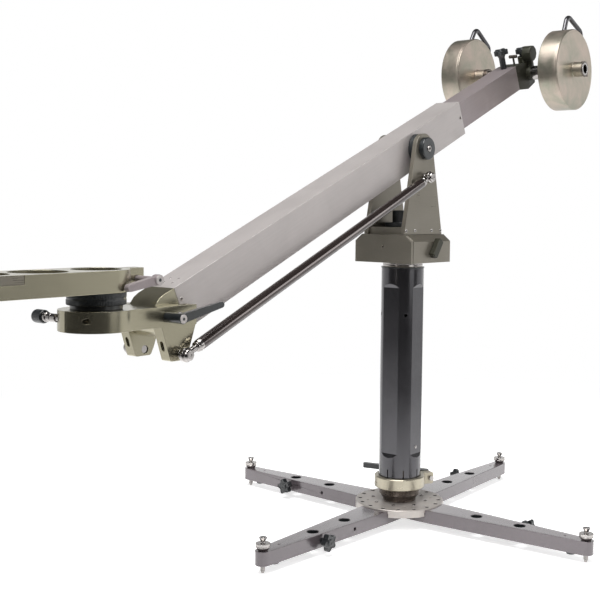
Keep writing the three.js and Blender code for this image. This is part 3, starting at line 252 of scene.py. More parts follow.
print("group:", grain_group.name)

# %% Slow clouds: where cloths, hands and the plating bath left their marks
cloud_group, cloud_in, cloud_out = new_group(
    "slow clouds",
    [("Vector", "NodeSocketVector", None), ("Size", "NodeSocketFloat", 9.0)],
    [("Mask", "NodeSocketFloat")],
)
drift = add_node(
    cloud_group, "ShaderNodeTexNoise", Vector=cloud_in.outputs["Vector"],
    Scale=cloud_in.outputs["Size"], Detail=5.0, Roughness=0.62, Distortion=0.6,
)
spread = add_node(
    cloud_group, "ShaderNodeMapRange", Value=drift.outputs[0], From_Min=0.32, From_Max=0.68,
)
cloud_group.links.new(spread.outputs[0], cloud_out.inputs["Mask"])
print("group:", cloud_group.name)

# %% Polished edges: the Bevel node looks round corners, and differs from the face only there
edge_group, edge_in, edge_out = new_group(
    "polished edges",
    [("Vector", "NodeSocketVector", None), ("Reach", "NodeSocketFloat", 0.001)],
    [("Mask", "NodeSocketFloat"), ("Normal", "NodeSocketVector")],
)
rounded = add_node(
    edge_group, "ShaderNodeBevel", {"samples": 6}, Radius=edge_in.outputs["Reach"]
)
face = edge_group.nodes.new("ShaderNodeNewGeometry")
agree = add_node(
    edge_group, "ShaderNodeVectorMath", {"operation": "DOT_PRODUCT"},
    _0=rounded.outputs[0], _1=face.outputs["Normal"],
)
turned_away = math_node(edge_group, "SUBTRACT", 1.0, agree.outputs["Value"])
strong = math_node(edge_group, "MULTIPLY", turned_away, 5.0, clamp=True)
chips = add_node(
    edge_group, "ShaderNodeTexNoise", Vector=edge_in.outputs["Vector"], Scale=160.0, Detail=3.0,
)
broken = add_node(
    edge_group, "ShaderNodeMapRange", Value=chips.outputs[0], From_Min=0.35, From_Max=0.6,
)
edge_mask = math_node(edge_group, "MULTIPLY", strong, broken.outputs[0])
edge_group.links.new(edge_mask, edge_out.inputs["Mask"])
edge_group.links.new(rounded.outputs[0], edge_out.inputs["Normal"])
print("group:", edge_group.name)

# %% [markdown]
# ## One recipe for all metal and plastic finishes
#
# Every finish is the same chain: the object's own coordinates feed the grain and the clouds;
# the clouds move the colour between two close tones and make some places duller; the edges
# show a brighter worn tone; and the grain's height gives the bump, in micrometres. What differs
# from piece to piece are the values: which way the grain runs, how metallic it is, how worn.


# %% The finish recipe
MICROMETRE = 1e-6
EDGE_REACH = 0.0009
GRAIN_SHADE = 0.06
COAT_ROUGHNESS = 0.12


def make_finish(
    name, tones, worn, metallic, roughness, grain=(900, 900, 900), bump=20.0,
    clouds=9.0, wear=0.5, turn=0.0, swing=0.12, coat=0.0,
):
    """A material with grain, clouds and worn edges. Tones and worn are display colours."""
    material = bpy.data.materials.new(name)
    material.use_nodes = True
    tree = material.node_tree
    tree.nodes.clear()
    output = tree.nodes.new("ShaderNodeOutputMaterial")
    shader = tree.nodes.new("ShaderNodeBsdfPrincipled")
    shader.inputs["Metallic"].default_value = metallic
    shader.inputs["Coat Weight"].default_value = coat
    shader.inputs["Coat Roughness"].default_value = COAT_ROUGHNESS
    tree.links.new(shader.outputs[0], output.inputs["Surface"])
    place = tree.nodes.new("ShaderNodeTexCoord").outputs["Object"]
    turned = add_node(
        tree, "ShaderNodeMapping", Vector=place, Rotation=(0.0, turn, 0.0)
    ).outputs[0]

    def use(group, **sockets):
        return add_node(tree, "ShaderNodeGroup", {"node_tree": group}, **sockets)

    lines = use(grain_group, Vector=turned, Stretch=grain)
    cloud = use(cloud_group, Vector=turned, Size=clouds)
    edges = use(edge_group, Vector=place, Reach=EDGE_REACH)
    clouded = mixed_colours(tree, cloud.outputs["Mask"], *map(colour, tones))
    lined = mixed_colours(tree, GRAIN_SHADE, clouded, lines.outputs["Shade"], "OVERLAY")
    edge_share = math_node(tree, "MULTIPLY", edges.outputs["Mask"], wear)
    fill(tree, shader.inputs["Base Color"], mixed_colours(tree, edge_share, lined, colour(worn)))
    dull = add_node(
        tree, "ShaderNodeMapRange", Value=cloud.outputs["Mask"], To_Min=roughness - swing / 2,
        To_Max=roughness + swing / 2,
    )
    lined_dull = math_node(
        tree, "MULTIPLY_ADD", lines.outputs["Shade"], swing, dull.outputs[0], clamp=True
    )
    fill(tree, shader.inputs["Roughness"], lined_dull)
    raised = add_node(
        tree, "ShaderNodeBump", Strength=1.0, Height=lines.outputs["Height"],
        Distance=bump * MICROMETRE, Normal=edges.outputs["Normal"],
    )
    fill(tree, shader.inputs["Normal"], raised.outputs[0])
    return material


print("recipe ready")

# %% [markdown]
# ## The finishes of this crane
#
# The boom, its arm and the legs are painted in warm greys. The platform, fork and nose are
# anodised in a pale green champagne, the head's housing is a darker olive of the same family,
# and the discs are yellow-passivated zinc. Screws and rod ends are bright turned steel.

# %% Make the finishes
SPRAYED = {"grain": (60, 900, 2600), "turn": BOOM_FALL, "bump": 4.0, "swing": 0.05, "wear": 0.25}
finishes = {
    "boom_paint": make_finish(
        "warm grey boom paint", ("aea8a6", "b6b0ae"), "dcd8d5", 0.4, 0.3, **SPRAYED
    ),
    "tube_paint": make_finish(
        "dark grey arm paint", ("8a8081", "938a8b"), "c4bfbf", 0.4, 0.3, **SPRAYED
    ),
    "leg_paint": make_finish(
        "brownish grey leg paint", ("625a5d", "686064"), "b5b0b0", 0.25, 0.2,
        bump=0.3, clouds=5.0, coat=1.0, swing=0.03,
    ),
    "plate_metal": make_finish(
        "machined plate aluminium", ("b5afab", "c6bfb9"), "e3dfda", 0.6, 0.34,
        grain=(1500, 1500, 1500), bump=30.0, clouds=22.0, wear=0.6,
    ),
    "dark_steel": make_finish(
        "dark turned steel", ("635b54", "756c66"), "b5aca6", 0.9, 0.24,
        grain=(300, 300, 3200), bump=0.1, swing=0.06,
    ),
    "nickel_brass": make_finish(
        "pale nickel on brass", ("aba594", "bab29f"), "e3decf", 0.8, 0.26,
        grain=(300, 300, 3000), bump=0.5,
    ),
    "column_black": make_finish(
        "black anodised column", ("48474a", "504f52"), "9a989c", 0.8, 0.2,
        grain=(1400, 1400, 500), bump=0.1, wear=0.55, coat=0.3, swing=0.04,
    ),
    "bright_steel": make_finish(
        "bright turned steel", ("a09c9a", "b6b2af"), "eeebe8", 1.0, 0.14,
        grain=(500, 500, 500), bump=0.1, swing=0.06,
    ),
    "olive": make_finish(
        "olive grey lacquer", ("7a756a", "817c72"), "c0beaf", 0.6, 0.28,
        grain=(90, 90, 2600), bump=0.5, wear=0.6, swing=0.05,
    ),
    "dark_olive": make_finish(
        "dark olive lacquer", ("2d2d24", "39392e"), "8d8c78", 0.4, 0.36, bump=12.0
    ),
    "champagne": make_finish(
        "champagne green anodising", ("9b9682", "a19c88"), "d6d1c0", 0.9, 0.22,
        grain=(90, 90, 2200), bump=0.1, clouds=5.0, wear=0.6, swing=0.03,
    ),
    "zinc": make_finish(
        "yellow passivated zinc", ("99998a", "beb0a4"), "e2dccb", 0.9, 0.3,
        grain=(700, 700, 700), bump=0.1, clouds=13.0, wear=0.6, swing=0.1,
    ),
    "rod_black": make_finish(
        "dark gloss rod anodising", ("3a302e", "443a37"), "a29a96", 0.7, 0.1,
        grain=(60, 1500, 1500), turn=BOOM_FALL, bump=0.1, wear=0.3, coat=1.0, swing=0.04,
    ),
    "black_plastic": make_finish(
        "black moulded plastic", ("14171a", "1f2325"), "4a5052", 0.0, 0.3,
        grain=(1800, 1800, 1800), bump=10.0, coat=0.4,
    ),
}
print("finishes:", ", ".join(finishes))

# %% [markdown]
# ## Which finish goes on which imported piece
#
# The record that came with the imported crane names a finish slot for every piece, so the table
# is read from there. Assigning a material to a slot changes the look and nothing else.

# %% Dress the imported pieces
slot_of = {part["node"]: part["material_slot"] for part in frame["record"]["subparts"]}
body_of = {
    node: body for body, nodes in frame["record"]["behaviour"]["bodies"].items() for node in nodes
}
for node, packed in frame["nodes"].items():
    packed.data.materials.clear()
    packed.data.materials.append(finishes[slot_of[node]])
print("dressed", len(slot_of), "packed pieces")

# %% [markdown]
# ## Two ways to make a finer piece
#
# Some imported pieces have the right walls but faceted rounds. A copy of such a piece is
# cleaned: the loose triangles are joined, flat areas become whole faces, the sharp edges get
# a small bevel, and the round walls are shaded smooth. Pure round parts are turned anew from
# their outline instead, which also leaves room for grooves, knurls and threads.


# %% Shapes: joined, sorted, bevelled and put in the scene
def together(*shapes):
    """Several finished shapes as one."""
    whole = bmesh.new()
    for shape in shapes:
        mesh = bpy.data.meshes.new("passing")
        shape.to_mesh(mesh)
        shape.free()
        whole.from_mesh(mesh)
        bpy.data.meshes.remove(mesh)
    return whole


def only(kind, made):
    """The vertices, edges or faces among what an operator made."""
    return [item for item in made if isinstance(item, kind)]


def broken_edges(shape, edges, width, rows=2):
    """Bevel some edges, and give back the new faces."""
    return bmesh.ops.bevel(
        shape, geom=edges, offset=width, offset_type="OFFSET", segments=rows, profile=0.5,
        affect="EDGES", material=-1, clamp_overlap=True,
    )["faces"]


def put_in_scene(name, shape):
    """A finished bmesh as an object of the scene."""
    mesh = bpy.data.meshes.new(name)
    shape.to_mesh(mesh)
    shape.free()
    made = bpy.data.objects.new(name, mesh)
    scene.collection.objects.link(made)
    return made


print("shapes can be joined and put in the scene")

# %% From a shape to a named piece
MERGED = 2e-6
SHARP_FROM = 35.0


def keep_piece(
    name, shape, slot, body, stands_for=(), sharp_from=SHARP_FROM, level=True, all_smooth=True
):
    """Turn a finished bmesh into an object that rides on a body of the crane."""
    bmesh.ops.remove_doubles(shape, verts=shape.verts, dist=MERGED)
    bmesh.ops.recalc_face_normals(shape, faces=shape.faces)
    piece = put_in_scene(name, shape)
    if all_smooth:
        piece.data.shade_smooth()
    piece.data.set_sharp_from_angle(angle=math.radians(sharp_from))
    piece.data.materials.append(finishes[slot])
    if level:
        flatten = piece.modifiers.new("flat faces stay flat", "WEIGHTED_NORMAL")
        flatten.keep_sharp = True
    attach(piece, body)
    if stands_for:
        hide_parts(*stands_for)
    return piece


def stand_in(node, ending, shape, slot, **options):
    """Keep a piece in place of a packed one, on the same body."""
    return keep_piece(f"{node}_{ending}", shape, slot, body_of[node], (node,), **options)


print("pieces can be kept")


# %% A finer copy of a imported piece
LOOSE = 1e-5
FLAT = math.radians(0.5)
BEVEL_BEND = 12.0


def finer_copy(node, edge, smooth_below, slot=None):
    """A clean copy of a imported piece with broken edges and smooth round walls."""
    shape = bmesh.new()
    shape.from_mesh(frame["nodes"][node].data)
    bmesh.ops.remove_doubles(shape, verts=shape.verts, dist=LOOSE)
    bmesh.ops.dissolve_limit(
        shape, angle_limit=FLAT, use_dissolve_boundaries=False, verts=shape.verts,
        edges=shape.edges, delimit={"NORMAL"},
    )
    bmesh.ops.connect_verts_concave(shape, faces=shape.faces)
    round_below = math.radians(smooth_below)
    rims = [
        e for e in shape.edges
        if len(e.link_faces) == 2 and e.calc_face_angle(0.0) > round_below
    ]
    for face in shape.faces:
        bends = [e.calc_face_angle(0.0) for e in face.edges if len(e.link_faces) == 2]
        face.smooth = any(FLAT < bend <= round_below for bend in bends)
    for face in broken_edges(shape, rims, edge * MILLIMETRE):
        face.smooth = True
    return stand_in(
        node, "finished", shape, slot or slot_of[node], sharp_from=smooth_below + BEVEL_BEND,
        all_smooth=False,
    )


print("finer copies can be made")

# %% Finer copies of the milled and moulded pieces: width of the broken edges, and the bend in
# degrees from which an edge is broken and not smoothed
milled = {
    "base_plate": (0.5, 25), "clamp_ring": (0.5, 25), "column_tube": (0.4, 20),
    "boom_nose": (0.8, 25), "weight_bracket": (0.6, 30), "head_fork": (0.6, 25),
    "camera_platform": (0.6, 25), "pan_brake_lever": (1.2, 30), "cheek_left": (0.5, 25),
    "cheek_right": (0.5, 25), "boom_tube": (0.8, 30), "extension_tube": (0.8, 30),
    "head_housing": (0.7, 30), "housing_cover": (0.6, 30), "clamp_lever": (1.2, 38),
    "head_lock_lever": (1.5, 38), "clamp_ring_bolt": (0.4, 38),
    **{f"leg_{side}": (0.8, 25) for side in LEGS},
}
finer = {node: finer_copy(node, *limits) for node, limits in milled.items()}
finer_copy("platform_clamp_lever", 1.2, 38, slot="tube_paint")
print("finer copies:", len(milled) + 1)

# %% [markdown]
# The column's wall is a true cylinder that flats and slots cut into long odd faces. Its normals
# are therefore worked out instead of averaged: straight away from the axis wherever a face
# belongs to the round wall, and the face's own normal everywhere else.


# %% True round normals for the column
WALL_MARGIN = 0.0006
WALL_BEND = math.radians(10.0)
COLUMN_RADIUS = 0.055


def round_normals(piece, radius):
    """Radial normals on the faces of a cylinder of that radius about the Z axis."""
    piece.modifiers.clear()
    mesh = piece.data
    mesh.shade_smooth()
    normals = []
    for face in mesh.polygons:
        for corner in face.loop_indices:
            where = mesh.vertices[mesh.loops[corner].vertex_index].co
            outward = Vector((where.x, where.y, 0.0)).normalized()
            on_wall = abs(where.xy.length - radius) < WALL_MARGIN
            along = outward.dot(face.normal) > math.cos(WALL_BEND)
            normals.append(outward if on_wall and along else face.normal)
    mesh.normals_split_custom_set(normals)


round_normals(finer["column_tube"], COLUMN_RADIUS)
print("column's wall is round")

# %% [markdown]
# ## The lathe
#
# A round piece is an outline of radius and height, spun once about its axis. Every corner is
# eased first, because no real turned corner is perfectly sharp and the small bevel catches the
# light. A full spin merges its seam, and points on the axis merge into one.


# %% Outlines that many pieces share, as radius and height pairs
def plug(radius, low, high):
    """The outline of a solid round bar."""
    return [(0, low), (radius, low), (radius, high), (0, high)]


def ring(inner, outer, low, high):
    """The closed outline of a round bar with a bore."""
    return [(inner, low), (outer, low), (outer, high), (inner, high), (inner, low)]


def mirrored(outline, sign):
    """The outline as it is for a sign of 1, and upside down for -1."""
    return [(radius, sign * height) for radius, height in outline]


def thread(radius, start, end, pitch, depth):
    """Outline points of a screw thread, as rings."""
    turns = max(1, round((end - start) / pitch))
    rings = []
    for i in range(turns):
        low = start + (end - start) * i / turns
        rings += [(radius - depth, low), (radius, low + (end - start) / turns / 2)]
    return rings + [(radius - depth, end)]


print("a plug:", plug(5, 0, 10))


# %% The lathe itself
SHORTEST_RUN = 0.4
SEAM = 0.0005


def eased(outline, ease):
    """The outline with each inner corner cut by a small bevel."""
    softened = [outline[0]]
    for before, corner, after in zip(outline, outline[1:], outline[2:]):
        here = Vector(corner)
        for neighbour in (before, after):
            away = Vector(neighbour) - here
            share = min(SHORTEST_RUN, ease / max(away.length, ease))
            softened.append(tuple(here + away * share))
    softened.append(outline[-1])
    return softened


def put_down(shape, place, along):
    """Move a shape from the lathe to its board, along the board's Z or Y."""
    if along == "Y":
        place = place @ TO_LEFT
    bmesh.ops.transform(shape, matrix=place, verts=shape.verts)
    return shape


def lathe(outline, place, along="Z", steps=64, ease=0.5):
    """A round shape from an outline, laid along Z or Y of its drawing board."""
    shape = bmesh.new()
    points = eased(outline, ease) if ease else outline
    corners = [shape.verts.new((radius, 0.0, height)) for radius, height in points]
    wires = [shape.edges.new(pair) for pair in zip(corners, corners[1:])]
    bmesh.ops.spin(
        shape, geom=corners + wires, cent=(0, 0, 0), axis=(0, 0, 1), angle=FULL_TURN,
        steps=steps, use_merge=True, use_duplicate=False,
    )
    bmesh.ops.remove_doubles(shape, verts=shape.verts, dist=SEAM)
    return put_down(shape, place, along)


print("the lathe is ready")


# %% Ribbed grips, and turned pieces in place of packed ones
def ribbed(outline, place, band, ribs, depth, along="Z", ease=0.5):
    """A turned grip with fine upright ribs. The band is its low and high end and least radius."""
    shape = lathe(outline, Matrix.Identity(4), steps=2 * ribs, ease=ease)
    low, high, least = band
    grooved = [
        v for v in shape.verts
        if low <= v.co.z <= high and v.co.xy.length >= least
        and round(math.atan2(v.co.y, v.co.x) / FULL_TURN * 2 * ribs) % 2
    ]
    for vert in grooved:
        vert.co.xy *= 1 - depth / vert.co.xy.length
    return put_down(shape, place, along)


def turn_piece(node, slot, outline, place, along="Z", steps=64, ease=0.5):
    """Keep a piece from the lathe in place of a packed one."""
    stand_in(node, "turned", lathe(outline, place, along, steps, ease), slot)


print("grips and turned pieces can be made")

# %% [markdown]
# ## Levelling feet
#
# Each leg ends in a steel screw with a dished head and a lock nut that is a cone below and a
# plain band above. They are all alike, so one loop over the four directions makes them. The
# thread is modelled as rings: at this size a true helix looks the same and costs more.

# %% Levelling screws, lock nuts and rubber pads
LEG_REACH = 530.0
PAD_REACH = 492.0
levelling_screw = [
    (0, -35), (3.5, -35), (5.2, -30), *thread(6.0, -29.5, 34, 2.2, 0.7), (5.0, 36),
    (5.2, 38), (9.7, 45.2), (9.2, 45.5), (3.6, 44.6), (3.0, 42.8), (0, 42.6),
]
lock_nut = [
    (6.6, 16.8), (11, 16.8), (16.8, 24.6), (16.8, 26.0), (16.1, 26.4), (16.1, 26.9),
    (16.8, 27.3), (16.8, 32.8), (6.6, 32.8), (6.6, 16.8),
]
for turn, side in enumerate(LEGS):
    foot = around(turn / 4, LEG_REACH)
    turn_piece(f"levelling_screw_{side}", "bright_steel", levelling_screw, foot, "Z", 36, 0.25)
    turn_piece(f"lock_nut_{side}", "bright_steel", lock_nut, foot, "Z", 48, 0.4)
    pad = lathe(plug(11.0, -23, -16.3), around(turn / 4, PAD_REACH), steps=32, ease=0.8)
    keep_piece(f"rubber_pad_{side}", pad, "black_plastic", "base")
print("levelling feet:", len(LEGS))

# %% [markdown]
# ## Painted shade in the bores
#
# The two big holes of every leg and the ring of holes in the base plate look black, since they lie
# in shade. A thin dark sleeve lines each of them as painted shade.


# %% Dark sleeves in the bores, as painted shade
SLEEVE_WALL = 0.8
NEAR_BORE, FAR_BORE = 235.0, 356.0
PLATE_BORES = 16
PLATE_BORE_REACH = 102.0


def shade_sleeve(radius, low, high, place):
    """A thin tube just inside a bore, for the bore's painted shade."""
    return lathe(ring(radius - SLEEVE_WALL, radius, low, high), place, steps=32, ease=0)


# Black sleeves paint the shade inside the leg bores and the plate bores.
leg_bores = [
    shade_sleeve(14.3, -15.4, 15.4, around(turn / 4, reach))
    for turn in range(4) for reach in (NEAR_BORE, FAR_BORE)
]
keep_piece("leg_bores", together(*leg_bores), "black_plastic", "base", level=False)
plate_bores = [
    shade_sleeve(5.4, 0.6, 18.4, around((i + 0.5) / PLATE_BORES, PLATE_BORE_REACH))
    for i in range(PLATE_BORES)
]
keep_piece("plate_bores", together(*plate_bores), "black_plastic", "base", level=False)
print("bores lined:", len(leg_bores) + len(plate_bores))

# %% [markdown]
# ## The column's foot and top
#
# The boss on the plate is threaded, and the pan bearing on the column's top shows a thin
# black seal over a bright race. The seal is a piece of its own because its finish differs.

# %% Boss, pan bearing and seal
boss = [
    (0, 19.8), (43, 19.8), (43, 23.8), (46, 29), (51, 35.5), *thread(53.9, 37.0, 52.0, 3.0, 1.2),
    (53.9, 53.0), (53.9, 56.7), (45.7, 56.7), (45.7, 150), (0, 150),
]
turn_piece("column_boss", "dark_steel", boss, FLOOR, "Z", 96, 0.3)
race = [
    (25, 627.6), (53, 627.6), (53, 631.5), (51.8, 632.3), (51.8, 637.0), (51.0, 637.4),
    (51.0, 638.0), (51.8, 638.4), (51.8, 643.0), (25, 643.0), (25, 627.6),
]
turn_piece("pan_bearing", "bright_steel", race, FLOOR, "Z", 96, 0.3)
seal = lathe(ring(52.6, 55.8, 627.4, 631.2), FLOOR, steps=96, ease=0.4)
keep_piece("bearing_seal", seal, "black_plastic", "base")
print("boss, bearing and seal turned")

# %% [markdown]
# ## The friction wheel and the axle knobs
#
# The wheel between the cheeks is gripped by its rim, so its rim is ribbed. The axle knobs are
# plain black discs with a bright screw and washer in the middle.

# %% Friction wheel, friction discs, axle and knobs
wheel = [
    (0, 714.3), (23.9, 714.3), (23.9, 733.3), (45.5, 733.3), (46.9, 734.6), (46.9, 743.6),
    (45.5, 744.8), (29, 744.8), (28.8, 747), (28.8, 774.3), (27.4, 775.8), (9, 775.8),
    (8, 773.5), (0, 773.5),
]
wheel_band = (734.0, 744.2, 46.0)
stand_in("pan_friction_wheel", "turned", ribbed(wheel, FLOOR, wheel_band, 60, 0.9, ease=0.4),
         "black_plastic")
TILT_AXLE = board(z=TILT_AXLE_HEIGHT)
axle = [(0, -75), (6.9, -75), (6.9, -66), (14.9, -66), (14.9, 66), (6.9, 66), (6.9, 75), (0, 75)]
turn_piece("tilt_axle", "bright_steel", axle, TILT_AXLE, "Y", 40, 0.5)
knob = [
    (15.4, 62.9), (28.4, 62.9), (28.4, 74.5), (26.4, 76.5), (11.5, 76.5), (10.5, 75.4),
    (7.4, 75.4), (7.4, 66.4), (15.4, 66.4), (15.4, 62.9),
]
friction_disc = ring(15.4, 37.9, 37.1, 50.1)
for side, sign in HANDS:
    for name, outline in (("axle_knob", knob), ("friction_disc", friction_disc)):
        turn_piece(
            f"{name}_{side}", "black_plastic", mirrored(outline, sign), TILT_AXLE, "Y", 64, 0.7
        )
print("wheel, axle, knobs and discs turned")

# %% [markdown]
# ## Tie rods and their pins
#
# The rods are dark glossy tubes. At each end a bright ferrule takes a short neck, and the neck
# ends in an eye that turns on a pin with a big domed head. Tube and bright ends are two pieces,
# since they have two finishes, and both follow the rod's body.


# %% Tie rods, rod ends and pins
ROD_SIDE = 78.5
ROD_RADIUS = 12.4
TUBE_START = 42
neck = [
    (0, 8), (6.6, 8), (6.6, 29), (10.8, 30), (10.8, 32), (9.6, 33), (9.6, 34), (11.6, 35),
    (12.3, 38), (12.3, 44), (0, 44),
]
eye = [(7.5, -6.9), (10.5, -6.9), (14.6, -4.2), (14.6, 4.2), (10.5, 6.9), (7.5, 6.9), (7.5, -6.9)]


def rod_end(where, inwards, body, name):
    """Ferrule, neck and eye at one end of a rod. Inwards is the way to the other end."""
    along_rod = where @ Matrix.Rotation(inwards * math.pi / 2, 4, "Y")
    keep_piece(f"{name}_neck", lathe(neck, along_rod, steps=40, ease=0.3), "bright_steel", body)
    keep_piece(f"{name}_eye", lathe(eye, where, "Y", 40, 0.6), "bright_steel", body)


def rod_pin(root, face):
    """The outline of a pin, from its root to the face that it stands on and its domed head."""
    return [
        (0, root), (7.9, root), (7.9, face + 0.3), (9.4, face + 0.3), (9.4, 67.5),
        (8.4, 68.2), (8.4, 69.2), (9.4, 70), (9.4, 71.2), (6.9, 71.2), (6.9, 85.8),
        (11.9, 85.8), (11.9, 88.2), (10.6, 90.6), (8, 92.0), (3.4, 92.2), (3.2, 90.5),
        (0, 90.5),
    ]


for side, sign in HANDS:
    rod = on(RODS, y=ROD_SIDE * sign)
    along_rod = rod @ Matrix.Rotation(-math.pi / 2, 4, "Y")
    tube = plug(ROD_RADIUS, TUBE_START, BOOM_REACH - TUBE_START)
    stand_in(f"tie_rod_{side}", "tube", lathe(tube, along_rod, steps=48, ease=0.6), "rod_black")
    rod_end(rod, -1, f"rod_{side}", f"rod_end_rear_{side}")
    rod_end(on(rod, x=-BOOM_REACH), 1, f"rod_{side}", f"rod_end_front_{side}")
    for name, carrier, root, face in (
        ("rear_rod_pin", TILT_AXLE, 50.5, 62.5), ("front_rod_pin", HEAD, 40.0, 62.0),
    ):
        pin = mirrored(rod_pin(root, face), sign)
        turn_piece(f"{name}_{side}", "bright_steel", pin, on(carrier, z=-ROD_DROP), "Y", 40, 0.25)
print("tie rods:", len(HANDS))

# %% [markdown]
# ## Grip ring, clamp knob and head pin
#
# The ring under the platform is turned by hand, so it has two ribbed bands and a plain groove
# between them. The clamp screw of the fork is bright steel with a collar, and carries a short
# black knob, so it is again two pieces of two finishes.

# %% Head's turned pieces
grip = [
    (0, -36), (41.6, -36), (41.6, 0.2), (47.8, 0.4), (47.8, 8.4), (53.6, 8.4), (54.8, 9.8),
    (54.8, 18.2), (54.0, 18.8), (54.0, 21.8), (54.8, 22.4), (54.8, 30.8), (53.6, 32.2),
    (24.3, 32.2), (24.3, 56.2), (12, 56.2), (11, 54.2), (0, 54.2),
]
grip_band = (9.0, 31.2, 54.2)
stand_in("pan_grip_ring", "turned", ribbed(grip, PLATFORM, grip_band, 120, 0.5, ease=0.35),
         "black_plastic")
CLAMP_SCREW = on(HEAD, x=-205.6, z=4.5)
clamp_screw = [
    (0, -28), (5.9, -28), (5.9, 42.4), (7.9, 42.4), (7.9, 56), (7.3, 56.6), (7.3, 57.6),
    (7.9, 58.2), (7.9, 68.5), (9.4, 70), (9.4, 76.4), (8.2, 77.6), (8.2, 80), (0, 80),
]
keep_piece("fork_clamp_screw", lathe(clamp_screw, CLAMP_SCREW, "Y", 40, 0.3), "bright_steel",
           "fork_clamp")
clamp_knob = [
    (0, 78), (10.6, 78), (12.8, 80), (12.8, 103.4), (11, 105.8), (6.4, 106), (5.8, 105), (0, 105),
]
knob_band = (79.5, 104.2, 12.4)
stand_in("fork_clamp_knob", "turned", ribbed(clamp_knob, CLAMP_SCREW, knob_band, 26, 0.5, "Y"),
         "black_plastic")
head_pin = [
    (0, -61.9), (3.0, -61.9), (3.2, -61.0), (5.4, -61.0), (5.6, -61.9), (8.9, -61.9),
    (8.9, 62.3), (13.8, 62.3), (13.8, 65.6), (11, 68.2), (4.2, 68.2), (4.0, 66.2), (0, 66.2),
]
turn_piece("head_pivot_pin", "bright_steel", head_pin, HEAD, "Y", 40, 0.3)
print("head's turned pieces done")

# %% [markdown]
# ## Weights
#
# A disc is a heavy turned plate with a short hub. A fine seam runs round near its edges, where
# the plated shell was pressed together. The axle is a bright tube whose end ring keeps the
# disc on, and a spring clip sits on the hub.

# %% Discs, axle and clip
WEIGHT_AXLE = on(BOOM, x=662.0, z=-6.0)
disc = [
    (17.2, -81.3), (21.3, -81.3), (21.3, -54.2), (23.5, -53.3), (108, -53.3), (108.6, -52.8),
    (109.4, -53.3), (114.0, -53.3), (116.4, -50.8), (116.4, -46.4), (115.8, -45.9),
    (116.4, -45.4), (116.4, 6.5), (114.0, 9.0), (17.2, 9.0), (17.2, -81.3),
]
for side, left_face in (("left", 201.3), ("right", -125.8)):
    place = on(WEIGHT_AXLE, y=left_face)
    turn_piece(f"disc_weight_{side}", "zinc", disc, place, "Y", 128, 0.25)
hollow_axle = [
    (12.8, -211.4), (18.8, -211.4), (18.8, -207.6), (16.4, -207.4), (16.4, 214.2), (12.8, 214.2),
    (12.8, -211.4),
]
turn_piece("weight_axle", "bright_steel", hollow_axle, WEIGHT_AXLE, "Y", 48, 0.4)
for name, outline, ease, slot in (
    ("stop_collar", ring(16.4, 21.9, 105.7, 119.5), 0.8, "dark_steel"),
    ("end_collar", ring(16.4, 18.9, 210.7, 214.5), 0.8, "dark_steel"),
    ("inner_collar", ring(16.4, 20.6, -112, -46), 1.2, "bright_steel"),
):
    keep_piece(name, lathe(outline, WEIGHT_AXLE, "Y", 48, ease), slot, "rear_arm")
CLIP_FACES = (-211.0, -208.0)
clip = [lathe(ring(19.1, 22.6, *CLIP_FACES), WEIGHT_AXLE, "Y", 48, 0.5)] + [
    lathe(plug(3.2, *CLIP_FACES), on(WEIGHT_AXLE, x, 0, z), "Y", 20, 0.5)
    for x, z in ((-9.0, 23.0), (9.0, -23.0))
]
keep_piece("spring_clip", together(*clip), "dark_steel", "rear_arm")
print("discs and axle turned")

# %% [markdown]
# ## Bent carrying handles
#
# A handle is one steel rod bent twice. The circle of its section is pushed along a straight,
# spun round the centre of a bend, and pushed on: exactly how a tube bender works.


# %% Handles
HANDLE_ROD = 6.8
HANDLE_HALF = 52.9
HANDLE_REACH = 151.8
HANDLE_CORNER = 20.0
HANDLE_FOOT = 101.0


def bent_handle(place):
    """A rod from one foot on the rim, up, over and down to the other foot."""
    shape = bmesh.new()
    section = bmesh.ops.create_circle(
        shape, cap_ends=False, radius=HANDLE_ROD, segments=20
    )["verts"]
    bmesh.ops.translate(shape, verts=section, vec=(-HANDLE_HALF, 0, HANDLE_FOOT))
    front = list({e for v in section for e in v.link_edges})

    def push(edges, way):
        made = bmesh.ops.extrude_edge_only(shape, edges=edges)["geom"]
        moved = only(bmesh.types.BMVert, made)
        bmesh.ops.translate(shape, verts=moved, vec=way)
        return [e for e in only(bmesh.types.BMEdge, made) if all(v in moved for v in e.verts)]

    def bend(edges, centre):
        verts = list({v for e in edges for v in e.verts})
        made = bmesh.ops.spin(
            shape, geom=verts + edges, cent=centre, axis=(0, 1, 0), angle=math.pi / 2, steps=10,
            use_duplicate=False,
        )["geom_last"]
        return only(bmesh.types.BMEdge, made)

    upright, level = HANDLE_REACH - HANDLE_CORNER, HANDLE_HALF - HANDLE_CORNER
    front = push(front, (0, 0, upright - HANDLE_FOOT))
    front = bend(front, (-level, 0, upright))
    front = push(front, (2 * level, 0, 0))
    front = bend(front, (level, 0, upright))
    push(front, (0, 0, HANDLE_FOOT - upright))
    bmesh.ops.holes_fill(shape, edges=[e for e in shape.edges if e.is_boundary], sides=0)
    bmesh.ops.transform(shape, matrix=place, verts=shape.verts)
    return shape


for side, middle, lean in (("left", 179.1, 31.0), ("right", -148.0, 21.0)):
    upright = on(WEIGHT_AXLE, y=middle) @ Matrix.Rotation(
        BOOM_FALL + math.radians(lean), 4, "Y"
    )
    stand_in(f"weight_handle_{side}", "bent", bent_handle(upright), "column_black", level=False)
print("handles bent")

# %% [markdown]
# ## Screws
#
# Small screws say how a thing is put together. All of them are one design: a low round head
# with a hexagonal socket, made by bridging circles and hexagons from the rim inwards. One
# function draws a screw head on any board, and each group of screws is one piece, with a black
# plug in every socket as a second piece: painted shade in the socket.


# %% Screw heads: shares of a head's height and radius, and its depth in the metal
HEAD_SINK = 0.6
CROWN_START = 0.7
CROWN_RADIUS = 0.86
SOCKET_FLOOR = 0.2
PLUG_FIT = 0.86


